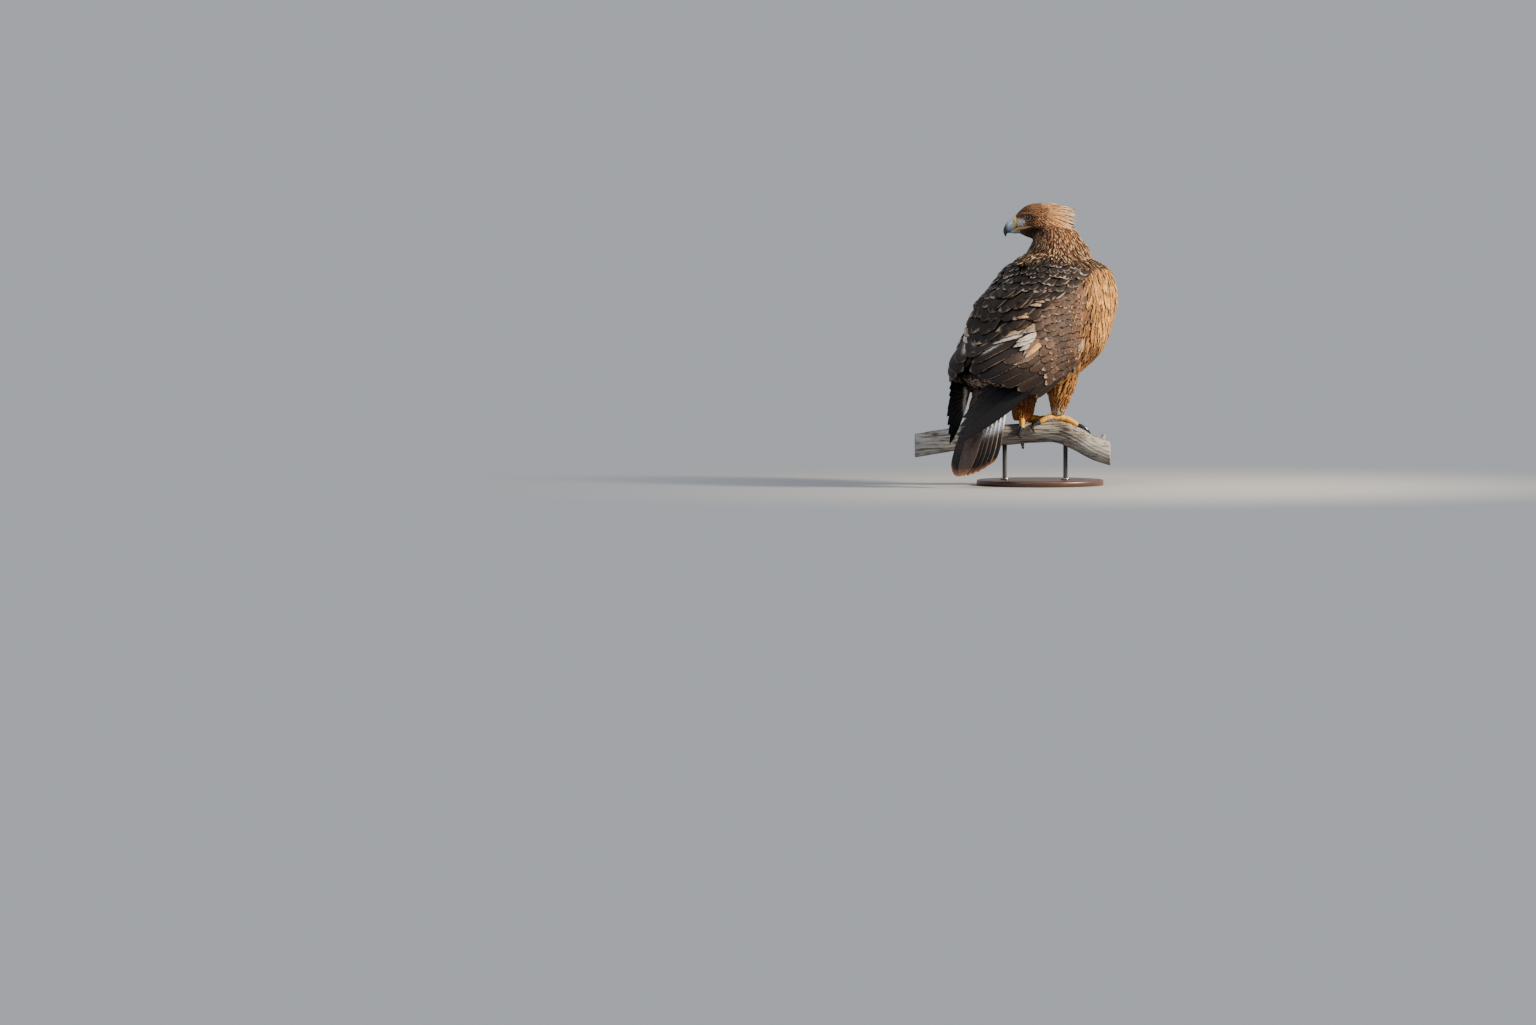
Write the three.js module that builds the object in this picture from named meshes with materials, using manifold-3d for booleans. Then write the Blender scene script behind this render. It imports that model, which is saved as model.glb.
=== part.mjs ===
// A golden eagle at life size, perched on a cut length of branch on a plain stand.
// Millimetres, +Z up. The body faces -Y, its left side is +X, and the head looks back
// over the left shoulder. The branch runs along the direction ALONG, under both feet.
import * as THREE from "three";
import { mergeVertices } from "three/addons/utils/BufferGeometryUtils.js";
import Module from "manifold-3d";

const wasm = await Module();
wasm.setup();
const { Manifold, Mesh: SolidMesh } = wasm;

// Gap kept between touching pieces, and how deep roots and cuts run past a surface.
const GAP = 0.3;
const SINK = 3;

// Plumage outline of folded wings and body: height, half width, breast y, back y.
const PLUMAGE = [
  [100, 46, 205, 308],
  [170, 72, 130, 288],
  [234, 104, 40, 274],
  [291, 129, -60, 272],
  [325, 139, -138, 266],
  [377, 150, -184, 220],
  [434, 152, -206, 182],
  [481, 150, -220, 146],
  [517, 143, -212, 102],
  [560, 124, -196, 66],
  [585, 90, -148, 45],
  [600, 79, -150, 12],
];
// The trunk alone, in the same columns: below the wings it closes round the vent.
const TRUNK = [
  [240, 30, 74, 178],
  [254, 74, 12, 216],
  [276, 108, -52, 236],
  [300, 126, -100, 246],
  [343, 145, -161, 246],
  [377, 150, -184, 220],
  [434, 152, -206, 182],
  [481, 150, -220, 146],
  [517, 143, -212, 102],
  [560, 124, -196, 66],
  [585, 90, -148, 45],
];
// Neck rings: height, centre x, centre y, half width, half depth.
const NECK = [
  [575, 0, -56, 105, 112],
  [585, 0, -52, 90, 96],
  [600, 0, -69, 79, 81],
  [611, 2, -73, 76, 77],
  [634, 2, -66, 63, 63],
  [655, 8, -60, 59, 59],
  [668, 16, -50, 46, 46],
  [676, 20, -45, 36, 36],
];
const SECTION_POWER = 2.5;
const TRUNK_TOP = 575;
const WING_DEPTH = 15;
const WING_LOW = 300;

// Forward edge of a folded wing: height, and how far in front of the ridge it lies.
const WING_FRONT = [
  [230, -60],
  [300, -133],
  [410, -158],
  [470, -172],
  [512, -170],
  [545, -130],
];

// Head rings, from the nape forward: place, half width, lower height, upper height.
const HEAD_AT = new THREE.Vector3(36, -29, 0);
const HEAD_TURN = THREE.MathUtils.degToRad(45);
const HEAD = [
  [-56, 9, 684, 704],
  [-48, 24, 668, 716],
  [-30, 34, 652, 727],
  [-10, 38.5, 641, 733],
  [8, 38, 638, 733.5],
  [24, 34.5, 641, 730],
  [38, 28, 647, 722],
  [50, 20.5, 653, 711],
  [60, 14, 657, 700],
];
const EYE_RADIUS = 8.3;
const EYE_PLACE = [26, 26.5, 695];
const BROW_THICK = 4.5;

// Bill in profile: culmen and cutting edge as forward and height, then half width.
const BILL_UPPER = [
  [52, 700, 52, 666, 14.5],
  [61, 698.5, 61, 663.5, 13.5],
  [71, 693, 70, 659.5, 12],
  [80.5, 683.5, 76, 656, 9.8],
  [87.5, 671, 79, 654, 6.6],
  [90.2, 660, 81, 651.5, 4],
  [87.8, 650, 82.5, 648, 2],
  [83, 643.6, 82, 644, 0.5],
];
const BILL_LOWER = [
  [46, 668, 46, 653, 12.5],
  [58, 666, 58, 652.5, 11],
  [66, 662.5, 66, 653, 8.6],
  [73, 658.5, 73, 653.8, 5],
  [78, 655.5, 78, 654, 1.5],
];

// Perch: place along the branch, height of its middle, radius.
const ALONG = new THREE.Vector3(-Math.SQRT1_2, -Math.SQRT1_2, 0);
const ACROSS = new THREE.Vector3(Math.SQRT1_2, -Math.SQRT1_2, 0);
const UP = new THREE.Vector3(0, 0, 1);
const ALONG_X = new THREE.Vector3(1, 0, 0);
const ALONG_Y = new THREE.Vector3(0, 1, 0);
const PERCH = [
  [-325, 103, 32],
  [-242, 116, 31],
  [-160, 125, 28],
  [-99, 130, 27],
  [0, 139, 28],
  [47, 139, 29],
  [90, 122, 31],
  [135, 98, 32],
  [182, 80, 31],
];

// Display stand.
const BASE_RADIUS = 165;
const BASE_HEIGHT = 14;
const BASE_BEVEL = 2;
const ROD_RADIUS = 6;
const ROD_PLACES = [-92, 66];

// Tail: its mid line as y and height, and the spread of its feathers.
const TAIL_LINE = [
  [0, 150, 306],
  [0.2, 186, 262],
  [0.5, 222, 188],
  [0.78, 256, 106],
  [1, 290, 30],
];
const TAIL_FEATHERS = 12;
const TAIL_HALF_SPREAD = 64;
const TAIL_ROOT_SPREAD = 26;
const TAIL_VANE = 25;

const random = (() => {
  let state = 20477;
  return () => {
    state = (state * 16807) % 2147483647;
    return state / 2147483647;
  };
})();

const jitter = (size) => (random() * 2 - 1) * size;
const clamp01 = (t) => Math.min(Math.max(t, 0), 1);
const mix = (a, b, t) => a + (b - a) * t;
// How far a vane stands out: sunk at its root, clear of its bed soon after.
const risen = (low, high, t) => mix(low, high, Math.min(t * 1.2, 1));
const smooth = (a, b, t) => {
  const s = clamp01((t - a) / (b - a));
  return s * s * (3 - 2 * s);
};

// Smooth values at t through rows that start with their own t.
function along(rows, t) {
  const last = rows.length - 1;
  const place = Math.min(Math.max(t, rows[0][0]), rows[last][0]);
  let i = 0;
  while (i < last - 1 && rows[i + 1][0] < place) {
    i += 1;
  }
  const from = rows[i];
  const to = rows[i + 1];
  const before = rows[Math.max(i - 1, 0)];
  const after = rows[Math.min(i + 2, last)];
  const step = to[0] - from[0];
  const s = (place - from[0]) / step;
  const rise = s * s * (3 - 2 * s);
  const leave = s * (1 - s) * (1 - s);
  const arrive = s * s * (s - 1);
  return from.map((value, k) => {
    const slopeIn = ((to[k] - before[k]) / (to[0] - before[0])) * step;
    const slopeOut = ((after[k] - value) / (after[0] - from[0])) * step;
    return value + (to[k] - value) * rise + slopeIn * leave + slopeOut * arrive;
  });
}

// One corner of a rounded-square section.
function squarish(angle, halfX, halfY) {
  const c = Math.cos(angle);
  const s = Math.sin(angle);
  const power = 2 / SECTION_POWER;
  return [halfX * Math.sign(c) * Math.abs(c) ** power, halfY * Math.sign(s) * Math.abs(s) ** power];
}

// A closed solid from vertices and faces, turned to face outwards.
function solidFrom(vertices, faces) {
  const a = new THREE.Vector3();
  let volume = 0;
  faces.forEach(([i, j, k]) => {
    volume += a.crossVectors(vertices[j], vertices[k]).dot(vertices[i]);
  });
  const turned = volume > 0 ? faces : faces.map(([i, j, k]) => [i, k, j]);
  return new Manifold(
    new SolidMesh({
      numProp: 3,
      vertProperties: Float32Array.from(vertices.flatMap((v) => [v.x, v.y, v.z])),
      triVerts: Uint32Array.from(turned.flat()),
    }),
  );
}

// A solid from one of the closed three.js geometries.
function solidOf(geometry) {
  geometry.deleteAttribute("normal");
  geometry.deleteAttribute("uv");
  const merged = mergeVertices(geometry, 1e-4);
  const place = merged.getAttribute("position");
  const index = merged.getIndex().array;
  const vertices = [];
  for (let i = 0; i < place.count; i += 1) {
    vertices.push(new THREE.Vector3().fromBufferAttribute(place, i));
  }
  const faces = [];
  for (let i = 0; i < index.length; i += 3) {
    faces.push([index[i], index[i + 1], index[i + 2]]);
  }
  return solidFrom(vertices, faces);
}

// A closed loft through rings of equally many points.
function loft(rings) {
  const count = rings[0].length;
  const vertices = rings.flat();
  const faces = [];
  for (let r = 0; r + 1 < rings.length; r += 1) {
    for (let i = 0; i < count; i += 1) {
      const a = r * count + i;
      const b = r * count + ((i + 1) % count);
      faces.push([a, b, b + count], [a, b + count, a + count]);
    }
  }
  const middle = (ring) => ring.reduce((sum, p) => sum.add(p), new THREE.Vector3()).divideScalar(count);
  const first = vertices.push(middle(rings[0])) - 1;
  const last = vertices.push(middle(rings.at(-1))) - 1;
  const top = (rings.length - 1) * count;
  for (let i = 0; i < count; i += 1) {
    const next = (i + 1) % count;
    faces.push([first, next, i], [last, top + i, top + next]);
  }
  return solidFrom(vertices, faces);
}

// A round rod of changing radius through points, with flat ends square to it.
function tapered(points, radii, sides, grow = 0) {
  const curve = new THREE.CatmullRomCurve3(points);
  const steps = radii.length - 1;
  const rings = radii.map((radius, i) => {
    const t = i / steps;
    const centre = curve.getPoint(t);
    const tangent = curve.getTangent(t);
    const guide = Math.abs(tangent.z) > 0.9 ? ALONG : UP;
    const side = new THREE.Vector3().crossVectors(tangent, guide).normalize();
    const over = new THREE.Vector3().crossVectors(side, tangent).normalize();
    if (i === 0 || i === steps) {
      centre.addScaledVector(tangent, (i === 0 ? -1 : 1) * grow);
    }
    return ringAround(centre, side, over, radius + grow, radius + grow, sides);
  });
  return loft(rings);
}

function ringAround(centre, axisA, axisB, radiusA, radiusB, sides) {
  return Array.from({ length: sides }, (_, i) => {
    const angle = (i / sides) * Math.PI * 2;
    return centre
      .clone()
      .addScaledVector(axisA, Math.cos(angle) * radiusA)
      .addScaledVector(axisB, Math.sin(angle) * radiusB);
  });
}

function union(solids) {
  return Manifold.union(solids.flat(Infinity));
}

function largest(solid) {
  const parts = solid.decompose();
  return parts.reduce((best, part) => (part.volume() > best.volume() ? part : best));
}

// Outlines of a feather: place along it, share of its half width.
const ROUND_TIP = [
  [0, 0.6],
  [0.6, 1],
  [0.92, 0.76],
  [1, 0.3],
];
const SHORT_TIP = [
  [0, 0.7],
  [0.5, 1],
  [0.84, 0.86],
  [1, 0.3],
];
const BLADE_TIP = [
  [0, 0.9],
  [0.55, 1],
  [0.9, 0.5],
  [1, 0.14],
];
const POINTED = [
  [0, 0.85],
  [0.5, 1],
  [1, 0.08],
];

// One vane: frameAt(t) gives its mid line and outward normal, and roll lifts its left
// edge over its neighbour. Both faces are split alike, so that it never crosses itself.
function vane(frameAt, halfWidth, outline, { thick = 1.2, roll = 0, grow = 0 } = {}) {
  const vertices = [];
  const lean = THREE.MathUtils.degToRad(roll);
  outline.forEach(([t, share], i) => {
    const { point, normal } = frameAt(t);
    const ahead = frameAt(Math.min(t + 0.02, 1)).point;
    const behind = frameAt(Math.max(t - 0.02, 0)).point;
    const tangent = ahead.sub(behind).normalize();
    const flat = new THREE.Vector3().crossVectors(tangent, normal).normalize();
    const square = new THREE.Vector3().crossVectors(flat, tangent).normalize();
    const side = flat.clone().multiplyScalar(Math.cos(lean)).addScaledVector(square, Math.sin(lean));
    const out = new THREE.Vector3().crossVectors(side, tangent).normalize();
    const half = halfWidth * share + grow;
    const end = i === 0 ? -grow : i === outline.length - 1 ? grow : 0;
    [-half, half].forEach((across) => {
      const base = point.clone().addScaledVector(side, across).addScaledVector(tangent, end);
      vertices.push(base.clone().addScaledVector(out, grow));
      vertices.push(base.clone().addScaledVector(out, -thick - grow));
    });
  });
  const faces = [[0, 2, 3], [0, 3, 1]];
  for (let row = 0; row + 1 < outline.length; row += 1) {
    const [leftUp, leftLow, rightUp, rightLow] = [0, 1, 2, 3].map((k) => row * 4 + k);
    faces.push([leftUp, leftUp + 4, rightUp + 4], [leftUp, rightUp + 4, rightUp]);
    faces.push([leftLow, rightLow + 4, leftLow + 4], [leftLow, rightLow, rightLow + 4]);
    faces.push([leftUp, leftLow, leftLow + 4], [leftUp, leftLow + 4, leftUp + 4]);
    faces.push([rightUp, rightLow + 4, rightLow], [rightUp, rightUp + 4, rightLow + 4]);
  }
  const end = (outline.length - 1) * 4;
  faces.push([end, end + 1, end + 3], [end, end + 3, end + 2]);
  return solidFrom(vertices, faces);
}

// The point of a sectioned outline at an angle and height, pushed out by some way.
function outlinePoint(rows, angle, height, out) {
  const [, half, front, back] = along(rows, height);
  const [x, y] = squarish(angle, half + out, (back - front) / 2 + out);
  return new THREE.Vector3(x, (back + front) / 2 + y, height);
}

function outlineNormal(rows, angle, height, out) {
  const at = (turn, lift) => outlinePoint(rows, angle + turn, height + lift, out);
  const around = at(0.03, 0).sub(at(-0.03, 0));
  const rise = at(0, 2).sub(at(0, -2));
  return around.cross(rise).normalize();
}

// A point of the right wing's outside, by its place along the branch and its height.
// The place along the branch is that of a line of sight square to the branch.
function wingFrame(place, height, out) {
  const target = -place * Math.SQRT2;
  const sum = (angle) => {
    const p = outlinePoint(PLUMAGE, angle, height, out);
    return p.x + p.y;
  };
  let low = Math.PI * 0.25;
  let high = Math.PI * 1.25;
  for (let i = 0; i < 30; i += 1) {
    const middle = (low + high) / 2;
    if (sum(middle) > target) {
      low = middle;
    } else {
      high = middle;
    }
  }
  return {
    point: outlinePoint(PLUMAGE, high, height, out),
    normal: outlineNormal(PLUMAGE, high, height, out),
  };
}

// How far the trunk lies under the plumage where a folded wing covers it.
function wingInset(point, height) {
  const edge = along(WING_FRONT, height)[1];
  return WING_DEPTH * smooth(edge - 6, edge + 26, point.y - Math.abs(point.x));
}

const trunkHeights = [240, 247, 260, 280, 306, 336, 370, 408, 448, 488, 522, 550, TRUNK_TOP];
const TRUNK_SIDES = 22;

function trunk(grow = 0) {
  const rings = trunkHeights.map((height, i) => {
    const end = i === 0 ? -grow : i === trunkHeights.length - 1 ? grow : 0;
    return Array.from({ length: TRUNK_SIDES }, (_, k) => {
      const angle = ((k + 0.5) / TRUNK_SIDES) * Math.PI * 2;
      const outer = outlinePoint(TRUNK, angle, height, 0);
      const inset = height > WING_LOW ? wingInset(outer, height) : 0;
      const point = outlinePoint(TRUNK, angle, height, grow - inset);
      point.z += end;
      return point;
    });
  });
  return loft(rings);
}

// A vane that lies on the right wing, from its root to its tip, each a place along
// the branch and a height, with how far it stands out at its root and its tip.
function wingVane(root, tip, halfWidth, outline, { lift = [-2, 3], ...shape } = {}) {
  const frameAt = (t) => {
    const out = risen(lift[0], lift[1], t);
    return wingFrame(mix(root[0], tip[0], t), mix(root[1], tip[1], t), out);
  };
  return vane(frameAt, halfWidth, outline, shape);
}

// Wing tiers, from the lesser coverts back to the tertials and secondaries: first and
// last tip, length, direction in degrees, count, half width, how far the tips stand out.
const TIERS = [
  { tips: [[98, 458], [84, 346]], long: 58, lean: 50, count: 3, half: 24, lift: [-7, 2.5] },
  { tips: [[64, 470], [50, 322]], long: 62, lean: 48, count: 3, half: 25, lift: [-7, 3] },
  { tips: [[24, 462], [16, 312]], long: 64, lean: 46, count: 4, half: 22, lift: [-7, 4] },
  { tips: [[-14, 448], [38, 290]], long: 80, lean: 40, count: 4, half: 25, lift: [-7, 3.4] },
  { tips: [[-146, 356], [-168, 330]], long: 150, lean: 33, count: 2, half: 25, lift: [-7, 5] },
  { tips: [[-184, 302], [-18, 236]], long: 165, lean: 31, count: 6, half: 24, lift: [-7, 2] },
];
const LONG_VANE = 120;

const WING_ROLL = -14;
const fromTip = ([place, height], long, lean) => {
  const angle = THREE.MathUtils.degToRad(lean);
  return [place + long * Math.cos(angle), height + long * Math.sin(angle)];
};

function tier({ tips, long, lean, count, half, lift }) {
  const outline = long > LONG_VANE ? ROUND_TIP : SHORT_TIP;
  return Array.from({ length: count }, (_, i) => {
    const t = i / (count - 1);
    const tip = [mix(tips[0][0], tips[1][0], t) + jitter(2), mix(tips[0][1], tips[1][1], t) + jitter(2)];
    const root = fromTip(tip, long, lean);
    const out = [lift[0], lift[1] - t * 0.8];
    return wingVane(root, tip, half, outline, { lift: out, thick: 1.4, roll: WING_ROLL });
  });
}

// The long black blades of the wing tip lie over the tail, under the secondaries:
// a flat fan, each blade a step behind the next, as place along the branch and height.
const PRIMARY_TIPS = [
  [-224, 113],
  [-210, 150],
  [-192, 182],
  [-162, 204],
  [-124, 222],
];
const PRIMARY_ROOT = [-20, 272];
const PRIMARY_SUNK = 3;
const PRIMARY_STEP = 2.2;
function primaries({ swing, out }) {
  const tips = PRIMARY_TIPS.map(([place, height]) => [mix(PRIMARY_ROOT[0], place, swing), height]);
  const root = wingFrame(...PRIMARY_ROOT, -PRIMARY_SUNK);
  const longest = wingFrame(...tips[0], out);
  const run = longest.point.clone().sub(root.point).normalize();
  const outward = root.normal.clone().add(longest.normal);
  outward.addScaledVector(run, -outward.dot(run)).normalize();
  return tips.map((tip, i) => {
    const start = root.point.clone().addScaledVector(outward, -i * PRIMARY_STEP);
    const end = inFan(tip, root.point, outward).addScaledVector(outward, -i * PRIMARY_STEP);
    const frameAt = (t) => ({ point: start.clone().lerp(end, t), normal: outward });
    return vane(frameAt, 21 - i, BLADE_TIP, { thick: 1.2 });
  });
}

// The point of the plane through a point that shows at a place along the branch and a height.
function inFan([place, height], through, normal) {
  const point = ALONG.clone().multiplyScalar(place).setZ(height);
  const depth = through.clone().sub(point).dot(normal) / ACROSS.dot(normal);
  return point.addScaledVector(ACROSS, depth);
}

// Long scapulars lie from the shoulder over the top of the wing.
const SCAPULARS = [
  { tips: [[-138, 402], [-66, 416]], long: 118, lean: 46, count: 3, half: 25, lift: [-7, 6] },
  { tips: [[-112, 452], [-14, 462]], long: 100, lean: 40, count: 3, half: 27, lift: [-7, 8] },
];

// The body of one folded wing: a curved slab over the flank, back to the ridge.
const CORE_COLUMNS = 7;
const CORE_ROWS = 7;
function wingCore() {
  const outer = [];
  const inner = [];
  for (let r = 0; r < CORE_ROWS; r += 1) {
    for (let c = 0; c < CORE_COLUMNS; c += 1) {
      const [place, height] = corePlace(c / (CORE_COLUMNS - 1), r / (CORE_ROWS - 1));
      const rim = Math.min(c, CORE_COLUMNS - 1 - c, r, CORE_ROWS - 1 - r) === 0;
      outer.push(wingFrame(place, height, rim ? -5 : 0).point);
      inner.push(wingFrame(place, height, -WING_DEPTH - SINK).point);
    }
  }
  return slab(outer, inner, CORE_ROWS, CORE_COLUMNS);
}

// Corners of the slab as place along the branch and height.
const CORE_FRONT = [
  [0, 108, 520],
  [0.4, 118, 455],
  [0.75, 106, 370],
  [1, 84, 312],
];
const CORE_RIDGE = [
  [0, -36, 548],
  [0.35, -118, 432],
  [0.7, -166, 362],
  [1, -186, 322],
];
const CORE_SAG = 60;
function corePlace(across, down) {
  const [, frontPlace, frontHeight] = along(CORE_FRONT, down);
  const [, ridgePlace, ridgeHeight] = along(CORE_RIDGE, down);
  const sag = CORE_SAG * Math.sin(Math.PI * across) * down ** 3;
  return [mix(frontPlace, ridgePlace, across), mix(frontHeight, ridgeHeight, across) - sag];
}

// A closed slab between two grids of points, split alike on both faces.
function slab(outer, inner, rows, columns) {
  const shift = outer.length;
  const faces = [];
  for (let r = 0; r + 1 < rows; r += 1) {
    for (let c = 0; c + 1 < columns; c += 1) {
      const a = r * columns + c;
      const b = a + 1;
      const d = a + columns;
      faces.push([a, b, d + 1], [a, d + 1, d]);
      faces.push([a + shift, d + 1 + shift, b + shift], [a + shift, d + shift, d + 1 + shift]);
    }
  }
  const range = (count) => Array.from({ length: count }, (_, i) => i);
  const rim = [
    ...range(columns - 1),
    ...range(rows - 1).map((r) => r * columns + columns - 1),
    ...range(columns - 1).map((c) => rows * columns - 1 - c),
    ...range(rows - 1).map((r) => (rows - 1 - r) * columns),
  ];
  rim.forEach((a, i) => {
    const b = rim[(i + 1) % rim.length];
    faces.push([b, a, a + shift], [b, a + shift, b + shift]);
  });
  return solidFrom([...outer, ...inner], faces);
}

// The right wing, with its tip over the tail; the left wing mirrors it with its tip
// swung less far. Both end at the ridge, where they meet.
const WING_TIPS = { right: { swing: 1, out: 6 }, left: { swing: 0.68, out: 9 } };
function wingSolid(side) {
  const folded = union([wingCore(), TIERS.map(tier), SCAPULARS.map(tier)]).intersect(sideBlock(-1));
  const whole = union([folded, primaries(WING_TIPS[side])]);
  return side === "left" ? whole.mirror([1, 0, 0]) : whole;
}

// The tail's mid line: a point and the way its upper face looks.
function tailFrame(t, across, lift) {
  const [, y, z] = along(TAIL_LINE, t);
  const [, aheadY, aheadZ] = along(TAIL_LINE, Math.min(t + 0.02, 1));
  const [, behindY, behindZ] = along(TAIL_LINE, Math.max(t - 0.02, 0));
  const normal = new THREE.Vector3(0, -(aheadZ - behindZ), aheadY - behindY).normalize();
  const bow = -((across / TAIL_HALF_SPREAD) ** 2) * 10 * t;
  const point = new THREE.Vector3(across, y, z).addScaledVector(normal, lift + bow);
  normal.x += across * 0.004;
  return { point, normal: normal.normalize() };
}

function rectrices() {
  return Array.from({ length: TAIL_FEATHERS }, (_, i) => {
    const side = (i / (TAIL_FEATHERS - 1)) * 2 - 1;
    const order = Math.abs(side) * (TAIL_FEATHERS / 2) + (side > 0 ? 0.5 : 0);
    const tip = 1 - 0.09 * Math.abs(side) ** 2.2 + 0.02 * side;
    const frameAt = (t) => {
      const across = side * mix(TAIL_ROOT_SPREAD, TAIL_HALF_SPREAD, t ** 0.7);
      return tailFrame(0.14 + (tip - 0.14) * t, across, -order * 2.1 + 4);
    };
    return vane(frameAt, TAIL_VANE, ROUND_TIP, { thick: 1.2 });
  });
}

function tailCoverts() {
  return Array.from({ length: 4 }, (_, i) => {
    const side = (i / 3) * 2 - 1;
    const frameAt = (t) => tailFrame(0.12 + 0.34 * t, side * 34, risen(2, 10, t));
    return vane(frameAt, 19, SHORT_TIP, { thick: 1.4, roll: -side * 6 });
  });
}

function undertail() {
  return Array.from({ length: 4 }, (_, i) => {
    const side = (i / 3) * 2 - 1;
    const frameAt = (t) => {
      const { point, normal } = tailFrame(0.12 + 0.36 * t, side * 32, -mix(8, 21, t));
      return { point, normal: normal.negate() };
    };
    return vane(frameAt, 19, SHORT_TIP, { thick: 1.4, roll: side * 6 });
  });
}

// The rump from which the tail feathers spring.
function tailCore(grow = 0) {
  const places = [0.0, 0.12, 0.26, 0.4, 0.5];
  const halves = [44, 42, 36, 30, 22];
  const depths = [24, 20, 14, 8.5, 5];
  const rings = places.map((t, i) => {
    const { point, normal } = tailFrame(t, 0, -4);
    return ringAround(point, ALONG_X, normal, halves[i] + grow, depths[i] + grow, 14);
  });
  return loft(rings);
}

function tailSolid() {
  return union([tailCore(), rectrices(), tailCoverts(), undertail()]);
}

// Places in the head's own directions.
const headForward = new THREE.Vector3(Math.cos(HEAD_TURN), Math.sin(HEAD_TURN), 0);
const headLeft = new THREE.Vector3(-Math.sin(HEAD_TURN), Math.cos(HEAD_TURN), 0);
const inHead = (forward, left, height) =>
  HEAD_AT.clone().addScaledVector(headForward, forward).addScaledVector(headLeft, left).setZ(height);

function headRing(forward, half, low, high, sides, grow) {
  return ringAround(
    inHead(forward, 0, (low + high) / 2),
    headLeft,
    UP,
    half + grow,
    (high - low) / 2 + grow,
    sides,
  );
}

function headCore(grow = 0) {
  const places = [-56, -50, -40, -28, -14, 0, 14, 26, 36, 45, 53, 60];
  const rings = places.map((place, i) => {
    const [, half, low, high] = along(HEAD, place);
    const end = i === 0 ? -grow : i === places.length - 1 ? grow : 0;
    return headRing(place + end, half, low, high, 20, grow);
  });
  return loft(rings);
}

// The bony shelf over each eye.
function brow(side) {
  const points = [
    inHead(48, side * 17, 707),
    inHead(37, side * 29, 707.5),
    inHead(24, side * 35.5, 706),
    inHead(9, side * 37, 703),
  ];
  return tapered(points, [BROW_THICK * 0.5, BROW_THICK, BROW_THICK, BROW_THICK * 0.45], 8);
}

// Pointed hackles of the nape, each lying back and down over the neck.
const NAPE_ROWS = [
  { forward: -34, back: 56, count: 5, from: 18, to: 162, rise: 4 },
  { forward: -12, back: 52, count: 5, from: 6, to: 174, rise: 3 },
];
const NAPE_DROP = 0.2;
function napeHackles(grow = 0) {
  return NAPE_ROWS.map(({ forward, back, count, from, to, rise }) =>
    Array.from({ length: count }, (_, i) => {
      const angle = THREE.MathUtils.degToRad(mix(from, to, i / (count - 1)));
      const frameAt = (t) => {
        const place = forward - back * t;
        const [, half, low, high] = along(HEAD, Math.max(place, -46));
        const out = risen(-6, rise + 2, t);
        const drop = Math.max(-46 - place, 0) * NAPE_DROP;
        const point = inHead(
          place,
          Math.cos(angle) * (half + out),
          (low + high) / 2 + Math.sin(angle) * ((high - low) / 2 + out) - drop,
        );
        const normal = headLeft.clone().multiplyScalar(Math.cos(angle)).addScaledVector(UP, Math.sin(angle));
        return { point, normal };
      };
      return vane(frameAt, 11, POINTED, { thick: 1.6, grow });
    }),
  );
}

function billLoft(rows, grow = 0) {
  const rings = rows.map(([overPlace, overHeight, underPlace, underHeight, half], i) => {
    const top = inHead(overPlace, 0, overHeight);
    const bottom = inHead(underPlace, 0, underHeight);
    const centre = top.clone().add(bottom).divideScalar(2);
    const over = top.clone().sub(bottom);
    const radius = over.length() / 2;
    const end = i === 0 ? -grow : 0;
    centre.addScaledVector(headForward, end);
    return ringAround(centre, headLeft, over.normalize(), half + grow, radius + grow, 14);
  });
  return loft(rings);
}

function nostril(side) {
  return tapered([inHead(62, side * 9, 682), inHead(65, side * 20, 684)], [2.6, 2.6], 8);
}

// The corner of the gape runs back under the eye as a narrow groove.
function gape(side) {
  const points = [
    inHead(54, side * 15, 663.6),
    inHead(42, side * 24.5, 667),
    inHead(28, side * 33.5, 670.5),
    inHead(16, side * 38.5, 672.5),
  ];
  return tapered(points, [1.6, 1.5, 1.3, 1], 6);
}

function eye(side, grow = 0) {
  const [forward, left, height] = EYE_PLACE;
  const ball = new THREE.SphereGeometry(EYE_RADIUS + grow, 10, 6);
  const place = inHead(forward, side * left, height);
  ball.translate(place.x, place.y, place.z);
  return solidOf(ball);
}

function neckCore() {
  const heights = [TRUNK_TOP + GAP, 585, 597, 611, 634, 655, 668, 676];
  const rings = heights.map((height) => {
    const [, x, y, halfX, halfY] = along(NECK, height);
    return Array.from({ length: 18 }, (_, k) => {
      const [dx, dy] = squarish(((k + 0.5) / 18) * Math.PI * 2, halfX, halfY);
      return new THREE.Vector3(x + dx, y + dy, height);
    });
  });
  return loft(rings);
}

// Rows of pointed hackles down the neck, each tucked under the row above.
const NECK_ROWS = [
  { top: 660, long: 38, count: 8, half: 15 },
  { top: 638, long: 38, count: 8, half: 18 },
  { top: 614, long: 34, count: 8, half: 22 },
];
const HACKLE_ROLL = -12;
function neckHackles() {
  return NECK_ROWS.map(({ top, long, count, half }, row) =>
    Array.from({ length: count }, (_, i) => {
      const turn = ((i + (row % 2) / 2) / count) * Math.PI * 2;
      const bottom = top - long - jitter(3);
      const frameAt = (t) => {
        const height = mix(top, bottom, t);
        const [, x, y, halfX, halfY] = along(NECK, height);
        const out = risen(-7, 6, t);
        const [dx, dy] = squarish(turn, halfX + out, halfY + out);
        const normal = new THREE.Vector3(Math.cos(turn), Math.sin(turn), 0.15).normalize();
        return { point: new THREE.Vector3(x + dx, y + dy, height), normal };
      };
      return vane(frameAt, half, POINTED, { thick: 1.6, roll: HACKLE_ROLL });
    }),
  );
}

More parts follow.
